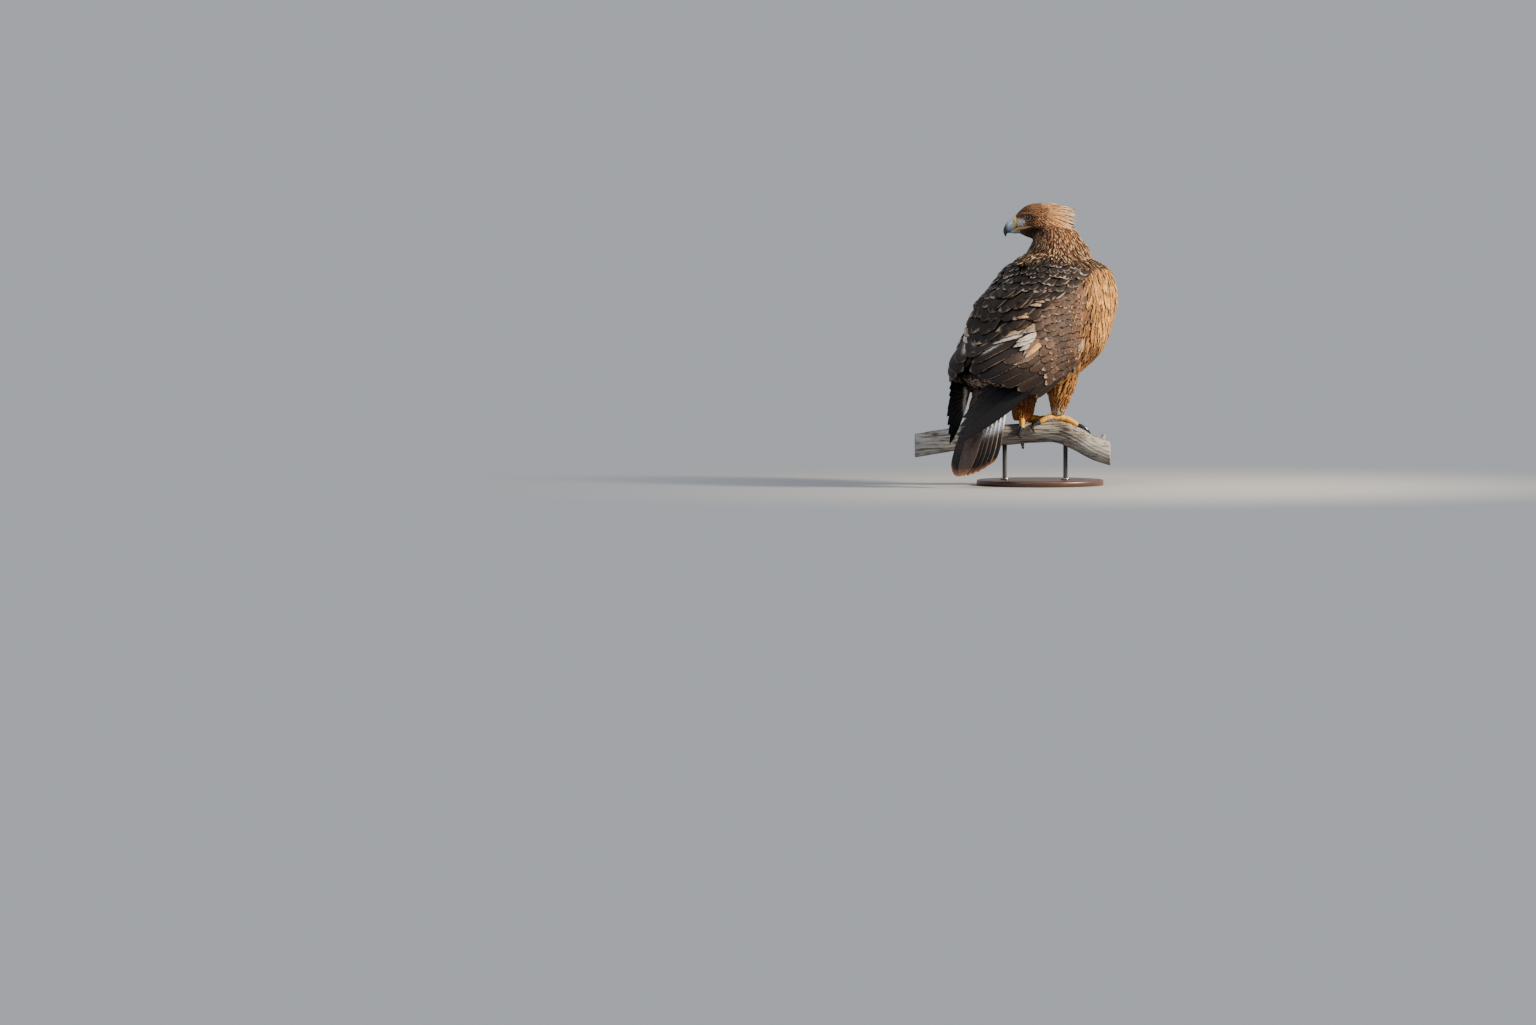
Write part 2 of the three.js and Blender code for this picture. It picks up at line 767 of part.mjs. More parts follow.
// Mantle feathers over the shoulders and upper back, part of the trunk.
const MANTLE_ROWS = [
  { top: 568, drop: 62, from: 18, to: 162, count: 6, half: 26 },
  { top: 548, drop: 72, from: 42, to: 138, count: 4, half: 27 },
];
function mantle(grow = 0) {
  return MANTLE_ROWS.map(({ top, drop, from, to, count, half }) =>
    Array.from({ length: count }, (_, i) => {
      const angle = THREE.MathUtils.degToRad(mix(from, to, i / (count - 1)));
      const frameAt = (t) => {
        const height = top - drop * t;
        const out = risen(-WING_DEPTH - 5, 9, t);
        return {
          point: outlinePoint(PLUMAGE, angle, height, out),
          normal: outlineNormal(PLUMAGE, angle, height, out),
        };
      };
      return vane(frameAt, half, SHORT_TIP, { thick: 1.6, grow });
    }),
  );
}

// Ruffled feathers that lie over each shoulder in front of the wing.
function shoulderTuft(side) {
  return [0, 1].map((i) => {
    const root = new THREE.Vector3(side * (84 - i * 26), -128 - i * 18, 566 - i * 8);
    const tip = new THREE.Vector3(side * (118 - i * 18), -168 - i * 20, 548 - i * 12);
    const normal = new THREE.Vector3(side * 0.4, -0.4, 0.82);
    const frameAt = (t) => ({ point: root.clone().lerp(tip, t), normal });
    return vane(frameAt, 18, SHORT_TIP, { thick: 1.8 });
  });
}

// Legs: share of the way from inside the belly to the toes, then x, y, height, half
// width, half depth. The left foot stands lower and farther back, with fuller feathers.
const LEG = [
  [0, 64, -10, 330, 44, 56],
  [0.25, 60, -14, 296, 42, 54],
  [0.5, 52, -22, 256, 33, 42],
  [0.72, 43, -28, 222, 25, 30],
  [0.88, 37, -32, 200, 22, 25],
  [1, 34, -33, 184, 18, 20],
];
const LEFT_LOWER = 14;
const LEFT_BACK = 66;
const LEFT_FULLER = 0.35;
const LEG_STEPS = [0, 0.2, 0.4, 0.58, 0.74, 0.88, 1];

// The middle of a leg and its half sizes at a share of its length.
function legFrame(side, t) {
  const [, x, y, z, halfX, halfY] = along(LEG, t);
  if (side < 0) {
    return { centre: new THREE.Vector3(-x, y, z), halfX, halfY };
  }
  const fuller = 1 + LEFT_FULLER * t;
  const centre = new THREE.Vector3(x, y + LEFT_BACK * t, z - LEFT_LOWER * t);
  return { centre, halfX: halfX * fuller, halfY: halfY * fuller };
}

function leg(side, grow = 0) {
  const rings = LEG_STEPS.map((t) => {
    const { centre, halfX, halfY } = legFrame(side, t);
    centre.z -= t === 1 ? grow : 0;
    return ringAround(centre, ALONG_X, ALONG_Y, halfX + grow, halfY + grow, 14);
  });
  return loft(rings);
}

// Long feathers of the thigh hang back and down over the shank.
const TROUSERS = { count: 4, from: -20, to: 200, top: 0.42, long: 0.4, half: 16 };
function trousers(side) {
  const { count, from, to, top, long, half } = TROUSERS;
  return Array.from({ length: count }, (_, i) => {
    const turn = THREE.MathUtils.degToRad(mix(from, to, i / (count - 1)));
    const around = new THREE.Vector3(Math.cos(turn), Math.sin(turn), 0);
    const frameAt = (t) => {
      const { centre, halfX, halfY } = legFrame(side, top + long * t);
      const out = risen(-6, 6, t);
      const point = centre.add(new THREE.Vector3(around.x * (halfX + out), around.y * (halfY + out), 0));
      return { point, normal: around.clone().setZ(0.1).normalize() };
    };
    return vane(frameAt, half, POINTED, { thick: 1.6 });
  });
}

// A point on or over the branch: place along it, angle from its top, distance off the wood.
function onPerch(place, degrees, off) {
  const [, height, radius] = along(PERCH, place);
  const angle = THREE.MathUtils.degToRad(degrees);
  return ALONG.clone()
    .multiplyScalar(place)
    .setZ(height)
    .addScaledVector(ACROSS, Math.sin(angle) * (radius + off))
    .addScaledVector(UP, Math.cos(angle) * (radius + off));
}

// Each toe: name, place along the branch and angle round it, for its root, middle
// and end, then for the claw's middle and point.
const FEET = {
  right: {
    at: 47,
    toes: [
      { name: "inner", end: [60, 78], claw: [[64, 104], [66, 122]] },
      { name: "middle", end: [88, 62], claw: [[100, 84], [104, 106]] },
      { name: "outer", end: [98, 14], claw: [[118, 14], [134, 22]] },
      { name: "hallux", end: [-2, -42], claw: [[-20, -62], [-12, -98]] },
    ],
  },
  left: {
    at: -47,
    toes: [
      { name: "inner", end: [2, 16], claw: [[20, 22], [32, 34]] },
      { name: "middle", end: [-4, 66], claw: [[8, 90], [12, 108]] },
      { name: "outer", end: [-46, 74], claw: [[-48, 98], [-50, 116]] },
      { name: "hallux", end: [-48, -66], claw: [[-56, -92], [-48, -116]] },
    ],
  },
};
const TOE_RADII = [9.5, 8.6, 8, 6.4];
const CLAW_RADII = [5.6, 4.9, 3.6, 0.7];

function toePath(at, toe) {
  const root = onPerch(at, 0, 9);
  const end = onPerch(toe.end[0], toe.end[1], 7);
  const middle = onPerch(mix(at, toe.end[0], 0.5), toe.end[1] * 0.5, 10.5);
  return [root, middle, end];
}

function foot(side, grow = 0) {
  const { at, toes } = FEET[side];
  const pad = new THREE.SphereGeometry(17 + grow, 12, 8);
  const centre = onPerch(at, 0, 12);
  pad.translate(centre.x, centre.y, centre.z);
  return union([solidOf(pad), toes.map((toe) => tapered(toePath(at, toe), TOE_RADII, 8, grow))]);
}

function claw(side, toe) {
  const { at } = FEET[side];
  const path = toePath(at, toe);
  const tangent = new THREE.CatmullRomCurve3(path).getTangent(1);
  const root = path.at(-1).clone().addScaledVector(tangent, GAP);
  const [middle, point] = toe.claw;
  const points = [
    root,
    root.clone().addScaledVector(tangent, 9).addScaledVector(UP, 1),
    onPerch(middle[0], middle[1], 9),
    onPerch(point[0], point[1], 1.6),
  ];
  return tapered(points, CLAW_RADII, 6);
}

function perch(grow = 0) {
  const count = 14;
  const start = PERCH[0][0];
  const finish = PERCH.at(-1)[0];
  const rings = Array.from({ length: count }, (_, i) => {
    const place = mix(start, finish, i / (count - 1));
    const end = i === 0 ? -grow : i === count - 1 ? grow : 0;
    const [, height, radius] = along(PERCH, place);
    const centre = ALONG.clone().multiplyScalar(place + end).setZ(height);
    const wide = radius + grow;
    return ringAround(centre, ACROSS, UP, wide, wide, 12);
  });
  return loft(rings);
}

// A broken twig under the branch and a short stub on top.
function twigs() {
  const under = tapered([onPerch(-47, 175, -8), onPerch(-44, 175, 14)], [6, 3.2], 8);
  const stub = tapered([onPerch(160, 8, -10), onPerch(166, 10, 15)], [8, 5], 8);
  return [under, stub];
}

function standBase() {
  const profile = [
    new THREE.Vector2(0, 0),
    new THREE.Vector2(BASE_RADIUS, 0),
    new THREE.Vector2(BASE_RADIUS, BASE_HEIGHT - BASE_BEVEL),
    new THREE.Vector2(BASE_RADIUS - BASE_BEVEL, BASE_HEIGHT),
    new THREE.Vector2(0, BASE_HEIGHT),
  ];
  const disc = new THREE.LatheGeometry(profile, 36);
  disc.rotateX(Math.PI / 2);
  return solidOf(disc);
}

function standRod(place, perchSolid) {
  const [, height] = along(PERCH, place);
  const under = ALONG.clone().multiplyScalar(place);
  const long = height - BASE_HEIGHT - GAP;
  const rod = new THREE.CylinderGeometry(ROD_RADIUS, ROD_RADIUS, long, 16);
  rod.rotateX(Math.PI / 2);
  rod.translate(under.x, under.y, BASE_HEIGHT + GAP + long / 2);
  return solidOf(rod).subtract(perchSolid);
}

// Half-space on one side of the body's middle plane.
function sideBlock(side) {
  const block = new THREE.BoxGeometry(600, 1200, 1600);
  block.translate(side * (300 + GAP / 2), 0, 400);
  return solidOf(block);
}

const looks = {
  plumage: new THREE.MeshStandardMaterial({ color: 0x4a3a36, roughness: 0.85 }),
  blond: new THREE.MeshStandardMaterial({ color: 0xc49a6c, roughness: 0.85 }),
  bill: new THREE.MeshStandardMaterial({ color: 0x5d6470, roughness: 0.35 }),
  eye: new THREE.MeshStandardMaterial({ color: 0x2a1a10, roughness: 0.05 }),
  foot: new THREE.MeshStandardMaterial({ color: 0xd9942e, roughness: 0.6 }),
  claw: new THREE.MeshStandardMaterial({ color: 0x1a1a22, roughness: 0.3 }),
  wood: new THREE.MeshStandardMaterial({ color: 0x8f8880, roughness: 0.9 }),
  base: new THREE.MeshStandardMaterial({ color: 0x2c2622, roughness: 0.5 }),
  steel: new THREE.MeshStandardMaterial({ color: 0x9a9a9c, roughness: 0.35, metalness: 1 }),
};

const eagle = new THREE.Group();

function add(name, solid, material) {
  const { vertProperties, triVerts } = largest(solid).getMesh();
  const geometry = new THREE.BufferGeometry();
  geometry.setAttribute("position", new THREE.BufferAttribute(Float32Array.from(vertProperties), 3));
  geometry.setIndex(Array.from(triVerts));
  const mesh = new THREE.Mesh(geometry, material);
  mesh.name = name;
  eagle.add(mesh);
}

const trunkGrown = trunk(GAP);
const mantleGrown = union(mantle(GAP));
const tailGrown = tailCore(GAP);
const headGrown = union([headCore(GAP), napeHackles(GAP)]);
const legsGrown = union([leg(-1, GAP), leg(1, GAP)]);
const perchGrown = perch(GAP);

add("torso", union([trunk(), mantle(), shoulderTuft(-1), shoulderTuft(1)]), looks.plumage);
add("tail", tailSolid().subtract(trunkGrown), looks.plumage);
const neck = union([neckCore(), neckHackles()]);
add("neck", neck.subtract(headGrown), looks.blond);
const headCuts = union([
  billLoft(BILL_UPPER, GAP),
  billLoft(BILL_LOWER, GAP),
  eye(-1, GAP),
  eye(1, GAP),
  gape(-1),
  gape(1),
]);
const head = union([headCore(), napeHackles(), brow(-1), brow(1)]);
add("head", head.subtract(headCuts), looks.blond);
add("bill_upper", billLoft(BILL_UPPER).subtract(union([nostril(-1), nostril(1)])), looks.bill);
add("bill_lower", billLoft(BILL_LOWER).subtract(billLoft(BILL_UPPER, GAP)), looks.bill);
add("eye_left", eye(1), looks.eye);
add("eye_right", eye(-1), looks.eye);

const wingCuts = union([trunkGrown, mantleGrown, tailGrown, legsGrown]);
["right", "left"].forEach((side) => {
  add(`wing_${side}`, wingSolid(side).subtract(wingCuts), looks.plumage);
});

[["right", -1], ["left", 1]].forEach(([side, sign]) => {
  const footGrown = foot(side, GAP);
  const around = union([perchGrown, footGrown]);
  const thigh = union([leg(sign), trousers(sign)]);
  add(`leg_${side}`, thigh.subtract(union([trunkGrown, around])), looks.blond);
  add(`foot_${side}`, foot(side).subtract(perchGrown), looks.foot);
  FEET[side].toes.forEach((toe) => {
    add(`claw_${side}_${toe.name}`, claw(side, toe).subtract(around), looks.claw);
  });
});

add("perch", union([perch(), twigs()]), looks.wood);
add("stand_base", standBase(), looks.base);
ROD_PLACES.forEach((place, i) => {
  add(`stand_rod_${i + 1}`, standRod(place, perchGrown), looks.steel);
});

export default eagle;
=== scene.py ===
"""Golden eagle at life size, perched on a cut length of branch on a plain display stand.

Sizes are in millimetres of the model's own frame: +Z up, the body faces -Y, its left side
is +X, and the head looks back over the left shoulder. Meshes are made in metres.
"""
import math

import bpy
import numpy as np
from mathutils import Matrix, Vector
from mathutils.bvhtree import BVHTree
from mathutils.kdtree import KDTree


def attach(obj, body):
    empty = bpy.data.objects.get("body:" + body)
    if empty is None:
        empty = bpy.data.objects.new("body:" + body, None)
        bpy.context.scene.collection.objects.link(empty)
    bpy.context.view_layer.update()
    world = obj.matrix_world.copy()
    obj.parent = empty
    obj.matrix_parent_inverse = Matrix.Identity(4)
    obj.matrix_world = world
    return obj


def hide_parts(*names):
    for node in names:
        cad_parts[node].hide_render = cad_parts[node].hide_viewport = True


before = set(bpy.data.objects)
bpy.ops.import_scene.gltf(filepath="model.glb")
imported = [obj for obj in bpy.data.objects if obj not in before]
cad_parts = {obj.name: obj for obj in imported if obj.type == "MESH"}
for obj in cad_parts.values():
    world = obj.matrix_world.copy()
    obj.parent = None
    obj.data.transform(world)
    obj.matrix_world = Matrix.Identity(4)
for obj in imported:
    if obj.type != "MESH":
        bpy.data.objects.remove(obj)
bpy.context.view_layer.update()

MM = 0.001
RNG = np.random.default_rng(20477)
TABLE_STEPS = 24
HALVINGS = 26
# Random places tried for each one that a gap has room for.
TRIES = 4.5

# Plumage outline of folded wings and body: height, half width, breast y, back y.
PLUMAGE = [
    (100, 46, 205, 308), (170, 72, 130, 288), (234, 104, 40, 274), (291, 129, -60, 272),
    (325, 139, -138, 266), (377, 150, -184, 220), (434, 152, -206, 182), (481, 150, -220, 146),
    (517, 143, -212, 102), (560, 124, -196, 66), (585, 90, -148, 45), (600, 79, -150, 12),
]
# The body alone, in the same way.
TRUNK = [
    (240, 30, 74, 178), (254, 74, 12, 216), (276, 108, -52, 236), (300, 126, -100, 246),
    (343, 145, -161, 246), (377, 150, -184, 220), (434, 152, -206, 182), (481, 150, -220, 146),
    (517, 143, -212, 102), (560, 124, -196, 66), (585, 90, -148, 45),
]
# Neck rings: height, centre x, centre y, half width, half depth.
NECK = [
    (575, 0, -56, 105, 112), (585, 0, -52, 90, 96), (600, 0, -69, 79, 81), (611, 2, -73, 76, 77),
    (634, 2, -66, 63, 63), (655, 8, -60, 59, 59), (668, 16, -50, 46, 46), (676, 20, -45, 36, 36),
]
SECTION_POWER = 2.5
WING_DEPTH = 15.0
# The closed wing's front edge: height, then y less the distance from the middle.
WING_FRONT = [(230, -60), (300, -133), (410, -158), (470, -172), (512, -170), (545, -130)]

# The head's middle and turn, then its rings from the nape forward: place, half width, lower and upper height.
HEAD_AT = np.array([36.0, -29.0, 0.0])
HEAD_TURN = math.radians(45)
HEAD = [
    (-56, 9, 684, 704), (-48, 24, 668, 716), (-30, 34, 652, 727), (-10, 38.5, 641, 733),
    (8, 38, 638, 733.5), (24, 34.5, 641, 730), (38, 28, 647, 722), (50, 20.5, 653, 711),
    (60, 14, 657, 700),
]
EYE_RADIUS = 8.3
EYE_PLACE = (26.0, 26.5, 695.0)
EYE_SUNK = 1.2
LID_HALF = 2.2
LID_COUNT = 40
LID_SIDES = 12

# Bill in profile: culmen and cutting edge as forward and height, then half width.
BILL_UPPER = [
    (52, 700, 52, 666, 14.5), (61, 698.5, 61, 663.5, 13.5), (71, 693, 70, 659.5, 12),
    (80.5, 683.5, 76, 656, 9.8), (87.5, 671, 79, 654, 6.6), (90.2, 660, 81, 651.5, 4),
    (87.8, 650, 82.5, 648, 2), (83, 643.6, 82, 644, 0.5),
]
BILL_LOWER = [
    (46, 668, 46, 653, 12.5), (58, 666, 58, 652.5, 11), (66, 662.5, 66, 653, 8.6),
    (73, 658.5, 73, 653.8, 5), (78, 655.5, 78, 654, 1.5),
]

# Directions along the branch and across it.
ALONG = np.array([-math.sqrt(0.5), -math.sqrt(0.5), 0.0])
ACROSS = np.array([math.sqrt(0.5), -math.sqrt(0.5), 0.0])
UP = np.array([0.0, 0.0, 1.0])
# Perch: place along the branch, height of its middle, radius.
PERCH = [
    (-325, 103, 32), (-242, 116, 31), (-160, 125, 28), (-99, 130, 27), (0, 139, 28),
    (47, 139, 29), (90, 122, 31), (135, 98, 32), (182, 80, 31),
]
BASE_RADIUS = 165.0
BASE_HEIGHT = 14.0
ROD_RADIUS = 6.0
ROD_PLACES = (-92, 66)

# Tail: its mid line as y and height, and the spread of its feathers.
TAIL_LINE = [(0, 150, 306), (0.2, 186, 262), (0.5, 222, 188), (0.78, 256, 106), (1, 290, 30)]
TAIL_FEATHERS = 12
TAIL_HALF_SPREAD = 64.0
TAIL_ROOT = 0.14
TAIL_ROOT_SPREAD = 26.0
TAIL_VANE = 25.0

# Legs: share of length, x, y, height, half width, half depth.
LEG = [
    (0, 64, -10, 330, 44, 56), (0.25, 60, -14, 296, 42, 54), (0.5, 52, -22, 256, 33, 42),
    (0.72, 43, -28, 222, 25, 30), (0.88, 37, -32, 200, 22, 25), (1, 34, -33, 184, 18, 20),
]
# The left leg's foot is lower and further back, and its feathers are fuller.
LEFT_LOWER = 14.0
LEFT_BACK = 66.0
LEFT_FULLER = 0.35

def srgb(code):
    """Linear colour of a hex colour code."""
    parts = [int(code[i:i + 2], 16) / 255 for i in (0, 2, 4)]
    return np.array([p / 12.92 if p <= 0.04045 else ((p + 0.055) / 1.055) ** 2.4 for p in parts])


# Colours, as linear values.
BLACK_BROWN = srgb("120c0b")
# Black of the primaries, tinted blue as a painted reflection of the sky.
BLACK_WITH_SKY_SHEEN = srgb("0e0e13")
LID_PALE = srgb("b3aa8e")
DARK_BROWN = srgb("231814")
COVERT_BROWN = srgb("3a2a24")
GREY_BROWN = srgb("57463f")
PALE_EDGE = srgb("b39a84")
GOLD = srgb("b58049")
PALE_GOLD = srgb("e6b673")
RUST = srgb("7d4c2c")
RUST_DARK = srgb("452a1c")
BLOND = srgb("b98d60")
BLOND_TIP = srgb("e6cfae")
CHEEK = srgb("160e0b")
LORE = srgb("dad7d9")
WHITE = srgb("d8d4d0")
BLUE_WHITE = srgb("c6ccd8")
TAN = srgb("bd9468")
TIP_BUFF = srgb("b57a4e")
CUT_PALE = srgb("9a8a74")
CUT_DARK = srgb("6e5f4e")
# Painted shade in cracks of the wood.
CRACK_SHADE = srgb("2b2520")
LEG_WHITE = srgb("c8bba8")
LIP_YELLOW = srgb("b3933f")
FOOT_YELLOW = srgb("c8922f")
# Painted shade in the creases between the toes' scutes.
FOOT_CREASE_SHADE = srgb("6a4014")
MOUTH = srgb("1c1009")
LEG_RUSSET = srgb("9a5a2a")
HORN_BLUE = srgb("8d9aad")
HORN_BLACK = srgb("15151c")
CERE_YELLOW = srgb("b99a35")
# Painted shade inside the nostrils.
NOSTRIL_SHADE = srgb("0a0806")
PUPIL = srgb("050303")
IRIS = srgb("4a260e")
IRIS_RIM = srgb("120a06")
CLAW_BLACK = srgb("17171e")
WOOD_DARK = srgb("55524e")
WOOD_PALE = srgb("b3b0ab")
WOOD_BROWN = srgb("4c4138")
LICHEN = srgb("9d9a70")
STAIN_DARK = srgb("20140e")
STAIN_PALE = srgb("57382a")
STEEL_DARK = srgb("8c8c90")
STEEL_PALE = srgb("b4b4b8")


def lerp(a, b, t):
    return a + (b - a) * t


def repeated(colour, count):
    return np.repeat(colour[None], count, 0)


def smooth(a, b, t):
    s = np.clip((t - a) / (b - a), 0, 1)
    return s * s * (3 - 2 * s)


def smooth_table(rows):
    """A function giving the smooth values at t of rows that start with their own place."""
    rows = np.array(rows, float)
    places = []
    values = []
    last = len(rows) - 1
    for i in range(last):
        before, start, end, after = rows[max(i - 1, 0)], rows[i], rows[i + 1], rows[min(i + 2, last)]
        step = end[0] - start[0]
        slope_in = (end - before) / (end[0] - before[0]) * step
        slope_out = (after - start) / (after[0] - start[0]) * step
        for k in range(TABLE_STEPS + (i == last - 1)):
            s = k / TABLE_STEPS
            places.append(start[0] + step * s)
            values.append(start + (end - start) * (s * s * (3 - 2 * s))
                          + slope_in * s * (1 - s) ** 2 + slope_out * s * s * (s - 1))
    places = np.array(places)
    values = np.array(values)[:, 1:]
    return lambda t: np.stack([np.interp(t, places, column) for column in values.T], -1)


plumage_at = smooth_table(PLUMAGE)
trunk_at = smooth_table(TRUNK)
neck_at = smooth_table(NECK)
front_at = smooth_table(WING_FRONT)
head_at = smooth_table(HEAD)
perch_at = smooth_table(PERCH)
tail_at = smooth_table(TAIL_LINE)
leg_at = smooth_table(LEG)

FORWARD = np.array([math.cos(HEAD_TURN), math.sin(HEAD_TURN), 0.0])
HEAD_LEFT = np.array([-math.sin(HEAD_TURN), math.cos(HEAD_TURN), 0.0])


def unit(v):
    return v / np.maximum(np.linalg.norm(v, axis=-1, keepdims=True), 1e-9)


def col(v):
    return np.asarray(v, float)[..., None]


def in_head(forward, left, height):
    """Places given in the head's own directions."""
    place = HEAD_AT + col(forward) * FORWARD + col(left) * HEAD_LEFT
    return place + col(height) * UP


def squarish(angle, half_x, half_y):
    power = 2 / SECTION_POWER
    c = np.cos(angle)
    s = np.sin(angle)
    return half_x * np.sign(c) * np.abs(c) ** power, half_y * np.sign(s) * np.abs(s) ** power


def outline_point(table, angle, height, out):
    """Point of a sectioned outline at an angle and height, pushed out by some way."""
    half, front, back = np.moveaxis(table(height), -1, 0)
    x, y = squarish(angle, half + out, (back - front) / 2 + out)
    return np.stack([x, y + (back + front) / 2, height + 0 * x], -1)


def outline_normal(table, angle, height):
    around = outline_point(table, angle + 0.03, height, 0) - outline_point(table, angle - 0.03, height, 0)
    rise = outline_point(table, angle, height + 2, 0) - outline_point(table, angle, height - 2, 0)
    return unit(np.cross(around, rise))


def wing_frame(place, height, out):
    """Point and normal of the right wing's outside, by place along the branch and height."""
    place, height, out = np.broadcast_arrays(*(np.asarray(v, float) for v in (place, height, out)))
    target = -place * math.sqrt(2)  # x + y of the place wanted
    low = np.full(place.shape, math.pi * 0.25)
    high = np.full(place.shape, math.pi * 1.25)
    for _ in range(HALVINGS):
        middle = (low + high) / 2
        point = outline_point(plumage_at, middle, height, out)
        over = point[..., 0] + point[..., 1] > target
        low = np.where(over, middle, low)
        high = np.where(over, high, middle)
    return outline_point(plumage_at, high, height, out), outline_normal(plumage_at, high, height)


def wing_inset(point, height):
    edge = front_at(height)[..., 0]
    return WING_DEPTH * smooth(edge - 6, edge + 26, point[..., 1] - np.abs(point[..., 0]))


# Making meshes.
def link(name, mesh):
    piece = bpy.data.objects.new(name, mesh)
    bpy.context.scene.collection.objects.link(piece)
    return piece


def values_of(rows, field, width, kind=np.float32):
    """One field of a mesh's vertices, loops or triangles, as rows of numbers."""
    values = np.empty(len(rows) * width, kind)
    rows.foreach_get(field, values)
    return values.reshape(-1, width)


def mesh_points(mesh):
    """A mesh's vertices in millimetres."""
    return values_of(mesh.vertices, "co", 3).astype(float) / MM


def move_points(mesh, points):
    mesh.vertices.foreach_set("co", (points * MM).ravel())
    mesh.update()


def mesh_from(name, vertices, quads):
    """A mesh in metres from vertices in millimetres and rows of four indices."""
    vertices = np.asarray(vertices, float).reshape(-1, 3) * MM
    quads = np.asarray(quads, np.int32)
    mesh = bpy.data.meshes.new(name)
    mesh.vertices.add(len(vertices))
    mesh.vertices.foreach_set("co", vertices.ravel())
    mesh.loops.add(quads.size)
    mesh.loops.foreach_set("vertex_index", quads.ravel())
    mesh.polygons.add(len(quads))
    mesh.polygons.foreach_set("loop_start", np.arange(len(quads)) * 4)
    mesh.polygons.foreach_set("loop_total", np.full(len(quads), 4))
    mesh.polygons.foreach_set("use_smooth", np.full(len(quads), True))
    mesh.update(calc_edges=True)
    mesh.validate()
    return mesh


def paint(mesh, name, colours):
    """Puts colours, of three parts or four, on a layer of the mesh."""
    colours = np.asarray(colours)
    layer = mesh.color_attributes.new(name, "FLOAT_COLOR", "POINT")
    rgba = np.ones((len(mesh.vertices), 4), np.float32)
    rgba[:, :colours.shape[-1]] = colours
    layer.data.foreach_set("color", rgba.ravel())


def ring_quads(count, sides):
    """Quads from each of count rings to the ring after it."""
    r, i = np.meshgrid(np.arange(count), np.arange(sides), indexing="ij")
    a = r * sides + i
    b = r * sides + (i + 1) % sides
    return np.stack([a, b, b + sides, a + sides], -1).reshape(-1, 4)


def loft_arrays(rings):
    """Vertices, quads and end triangles of a closed loft through rings."""
    rings = np.asarray(rings, float)
    count, sides = rings.shape[:2]
    vertices = rings.reshape(-1, 3)
    ends = np.array([rings[0].mean(0), rings[-1].mean(0)])
    first = len(vertices)
    k = np.arange(sides)
    following = (k + 1) % sides
    top = (count - 1) * sides
    cap_a = np.stack([np.full(sides, first), following, k], -1)
    cap_b = np.stack([np.full(sides, first + 1), top + k, top + following], -1)
    return np.vstack([vertices, ends]), ring_quads(count - 1, sides), np.vstack([cap_a, cap_b])


def loft_mesh(name, rings):
    vertices, quads, caps = loft_arrays(rings)
    mesh = bpy.data.meshes.new(name)
    mesh.from_pydata((vertices * MM).tolist(), [], quads.tolist() + caps.tolist())
    mesh.polygons.foreach_set("use_smooth", [True] * len(mesh.polygons))
    mesh.update()
    return mesh


def ring(centre, axis_a, axis_b, radius_a, radius_b, sides):
    angle = np.arange(sides) / sides * 2 * math.pi
    return (np.asarray(centre) + np.cos(angle)[:, None] * radius_a * np.asarray(axis_a)
            + np.sin(angle)[:, None] * radius_b * np.asarray(axis_b))


def spline(points, count):
    """Evenly spaced points of a smooth curve through points."""
    rows = [(i, *point) for i, point in enumerate(points)]
    return smooth_table(rows)(np.linspace(0, len(points) - 1, count))


def tube_rings(points, radii, sides):
    """Rings square to a curve through points, with their radii spread along it."""
    centres = spline(points, len(radii))
    tangents = unit(np.gradient(centres, axis=0))
    side = np.cross(tangents[0], ALONG if abs(tangents[0][2]) > 0.9 else UP)
    rings = []
    for centre, tangent, radius in zip(centres, tangents, radii):
        side = unit(side - tangent * (side @ tangent))
        over = unit(np.cross(side, tangent))
        rings.append(ring(centre, side, over, radius, radius, sides))
    return np.array(rings)


# The skin under the plumage, one closed surface.
COAT_DEPTH = 5.0
SKIN_VOXEL = 2.6
TRUNK_SIDES = 56
WING_FOOT = 300


def trunk_rings(under):
    """Rings of the body, drawn in where the wings lie."""
    rings = []
    angle = (np.arange(TRUNK_SIDES) + 0.5) / TRUNK_SIDES * 2 * math.pi
    for height in np.linspace(240, 588, 40):
        level = np.full(TRUNK_SIDES, height)
        outer = outline_point(trunk_at, angle, level, 0)
        inset = wing_inset(outer, height) if height > WING_FOOT else 0
        rings.append(outline_point(trunk_at, angle, level, -inset - under))
    return rings


def neck_rings(under):
    rings = []
    for height in np.linspace(570, 676, 18):
        x, y, half_x, half_y = neck_at(height)
        dx, dy = squarish(np.arange(40) / 40 * 2 * math.pi, half_x - under, half_y - under)
        rings.append(np.stack([x + dx, y + dy, np.full(40, height)], -1))
    return rings


def head_rings(under):
    rings = []
    for place in np.linspace(-54, 60, 26):
        half, low, high = head_at(place)
        centre = in_head(place, 0, (low + high) / 2)
        half_z = max((high - low) / 2 - under, 4)
        rings.append(ring(centre, HEAD_LEFT, UP, max(half - under, 4), half_z, 36))
    return rings


def leg_frame(side, t):
    """Middle and half sizes of a leg at shares t of its length."""
    x, y, z, half_x, half_y = np.moveaxis(leg_at(t), -1, 0)
    if side < 0:
        return np.stack([-x, y, z], -1), half_x, half_y
    fuller = 1 + LEFT_FULLER * t
    centre = np.stack([x, y + LEFT_BACK * t, z - LEFT_LOWER * t], -1)
    return centre, half_x * fuller, half_y * fuller


def leg_rings(side, under):
    rings = []
    for t in np.linspace(0, 1, 20):
        centre, half_x, half_y = leg_frame(side, t)
        rings.append(ring(centre, (1, 0, 0), (0, 1, 0), half_x - under, half_y - under, 28))
    return rings


